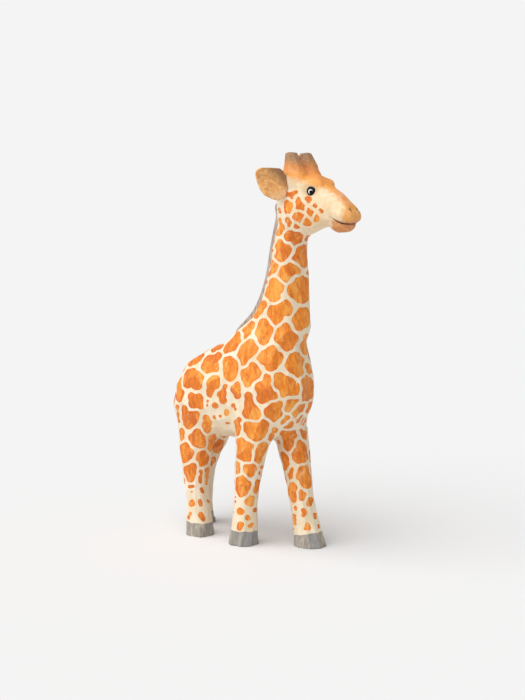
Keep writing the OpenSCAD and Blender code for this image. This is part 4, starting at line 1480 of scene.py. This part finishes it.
paint = paint_finish()
bare = bare_finish("bare basswood", srgb(232, 208, 168), srgb(212, 180, 132))
beech = bare_finish("beech dowel", srgb(222, 184, 136), srgb(196, 150, 100))
COATS = dict.fromkeys(("torso", "neck", "head", *LEG_DOWELS, "horn_left", "horn_right"), paint)
COATS.update(ear_left=ear_finish(), mane=mane_finish(), tail=tail_finish(), eye_left=eye_finish())
COATS.update(ear_right=COATS["ear_left"], eye_right=COATS["eye_left"])
for key, material in COATS.items():
    made[key].data.materials.append(material)
    made[key].data.materials.append(bare)

for node, obj in made.items():
    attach(obj, "root")
    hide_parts(node)
for node, obj in frame["nodes"].items():
    if node.startswith("dowel"):
        obj.data.materials.clear()
        obj.data.materials.append(beech)

# ---------- stage ----------

GROUND = 0.905  # how bright floor and background look, so that the horizon disappears
SKY = 0.45
KEY = 2.8
KEY_WAY = Vector((-0.17, -0.8, 1.02)).normalized()  # where the key stands, seen from the figure
FLOOR_TONE = GROUND / (SKY + KEY * KEY_WAY.z / math.pi)
FLOOR_HAZE = 1.003  # faint unevenness
FLOOR_REACH = 40.0  # metres
KEY_WIDTH = math.radians(80)
LENS, SENSOR = 73.3, 36  # millimetres


def floor_finish():
    m = Finish("studio floor")
    haze = m.noise((0.004, 0.004, 0.004), 2, 0.5)
    shades = [(FLOOR_TONE * k,) * 3 + (1,) for k in (1, FLOOR_HAZE)]
    return m.done(m.mix(haze, *shades), 1.0, 0.0)


floor_mesh = bpy.data.meshes.new("studio_floor")
reach = FLOOR_REACH
floor_mesh.from_pydata(
    [(-reach, -reach, 0), (reach, -reach, 0), (reach, reach, 0), (-reach, reach, 0)], [], [(0, 1, 2, 3)]
)
floor = put("studio_floor", floor_mesh)
floor_mesh.materials.append(floor_finish())

world_box = bpy.data.worlds.new("studio")
bpy.context.scene.world = world_box
world_box.use_nodes = True
tree = world_box.node_tree
tree.nodes.clear()
seen_sky, soft_sky = tree.nodes.new("ShaderNodeBackground"), tree.nodes.new("ShaderNodeBackground")
seen_sky.inputs["Color"].default_value = (GROUND, GROUND, GROUND, 1)
soft_sky.inputs["Color"].default_value = (1.0, 1.0, 1.0, 1)
soft_sky.inputs["Strength"].default_value = SKY
path = tree.nodes.new("ShaderNodeLightPath")
blend_sky = tree.nodes.new("ShaderNodeMixShader")
sky_out = tree.nodes.new("ShaderNodeOutputWorld")
tree.links.new(path.outputs["Is Camera Ray"], blend_sky.inputs["Fac"])
tree.links.new(soft_sky.outputs[0], blend_sky.inputs[1])
tree.links.new(seen_sky.outputs[0], blend_sky.inputs[2])
tree.links.new(blend_sky.outputs[0], sky_out.inputs["Surface"])

key_data = bpy.data.lights.new("key", "SUN")
key_data.angle = KEY_WIDTH
key_data.energy = KEY
key_light = bpy.data.objects.new("key", key_data)
bpy.context.scene.collection.objects.link(key_light)
key_light.rotation_euler = KEY_WAY.to_track_quat("Z", "Y").to_euler()

camera_data = bpy.data.cameras.new("camera")
camera_data.sensor_width = SENSOR
camera_data.lens = LENS
camera_data.clip_end = 200
camera = bpy.data.objects.new("camera", camera_data)
bpy.context.scene.collection.objects.link(camera)
camera.location = Vector(world(PAINTER))
camera.rotation_euler = (Vector(world(PAINTER)) - Vector(world(AIM))).to_track_quat("Z", "Y").to_euler()
bpy.context.scene.camera = camera

bpy.context.scene.view_settings.view_transform = "Standard"
bpy.context.scene.view_settings.look = "None"
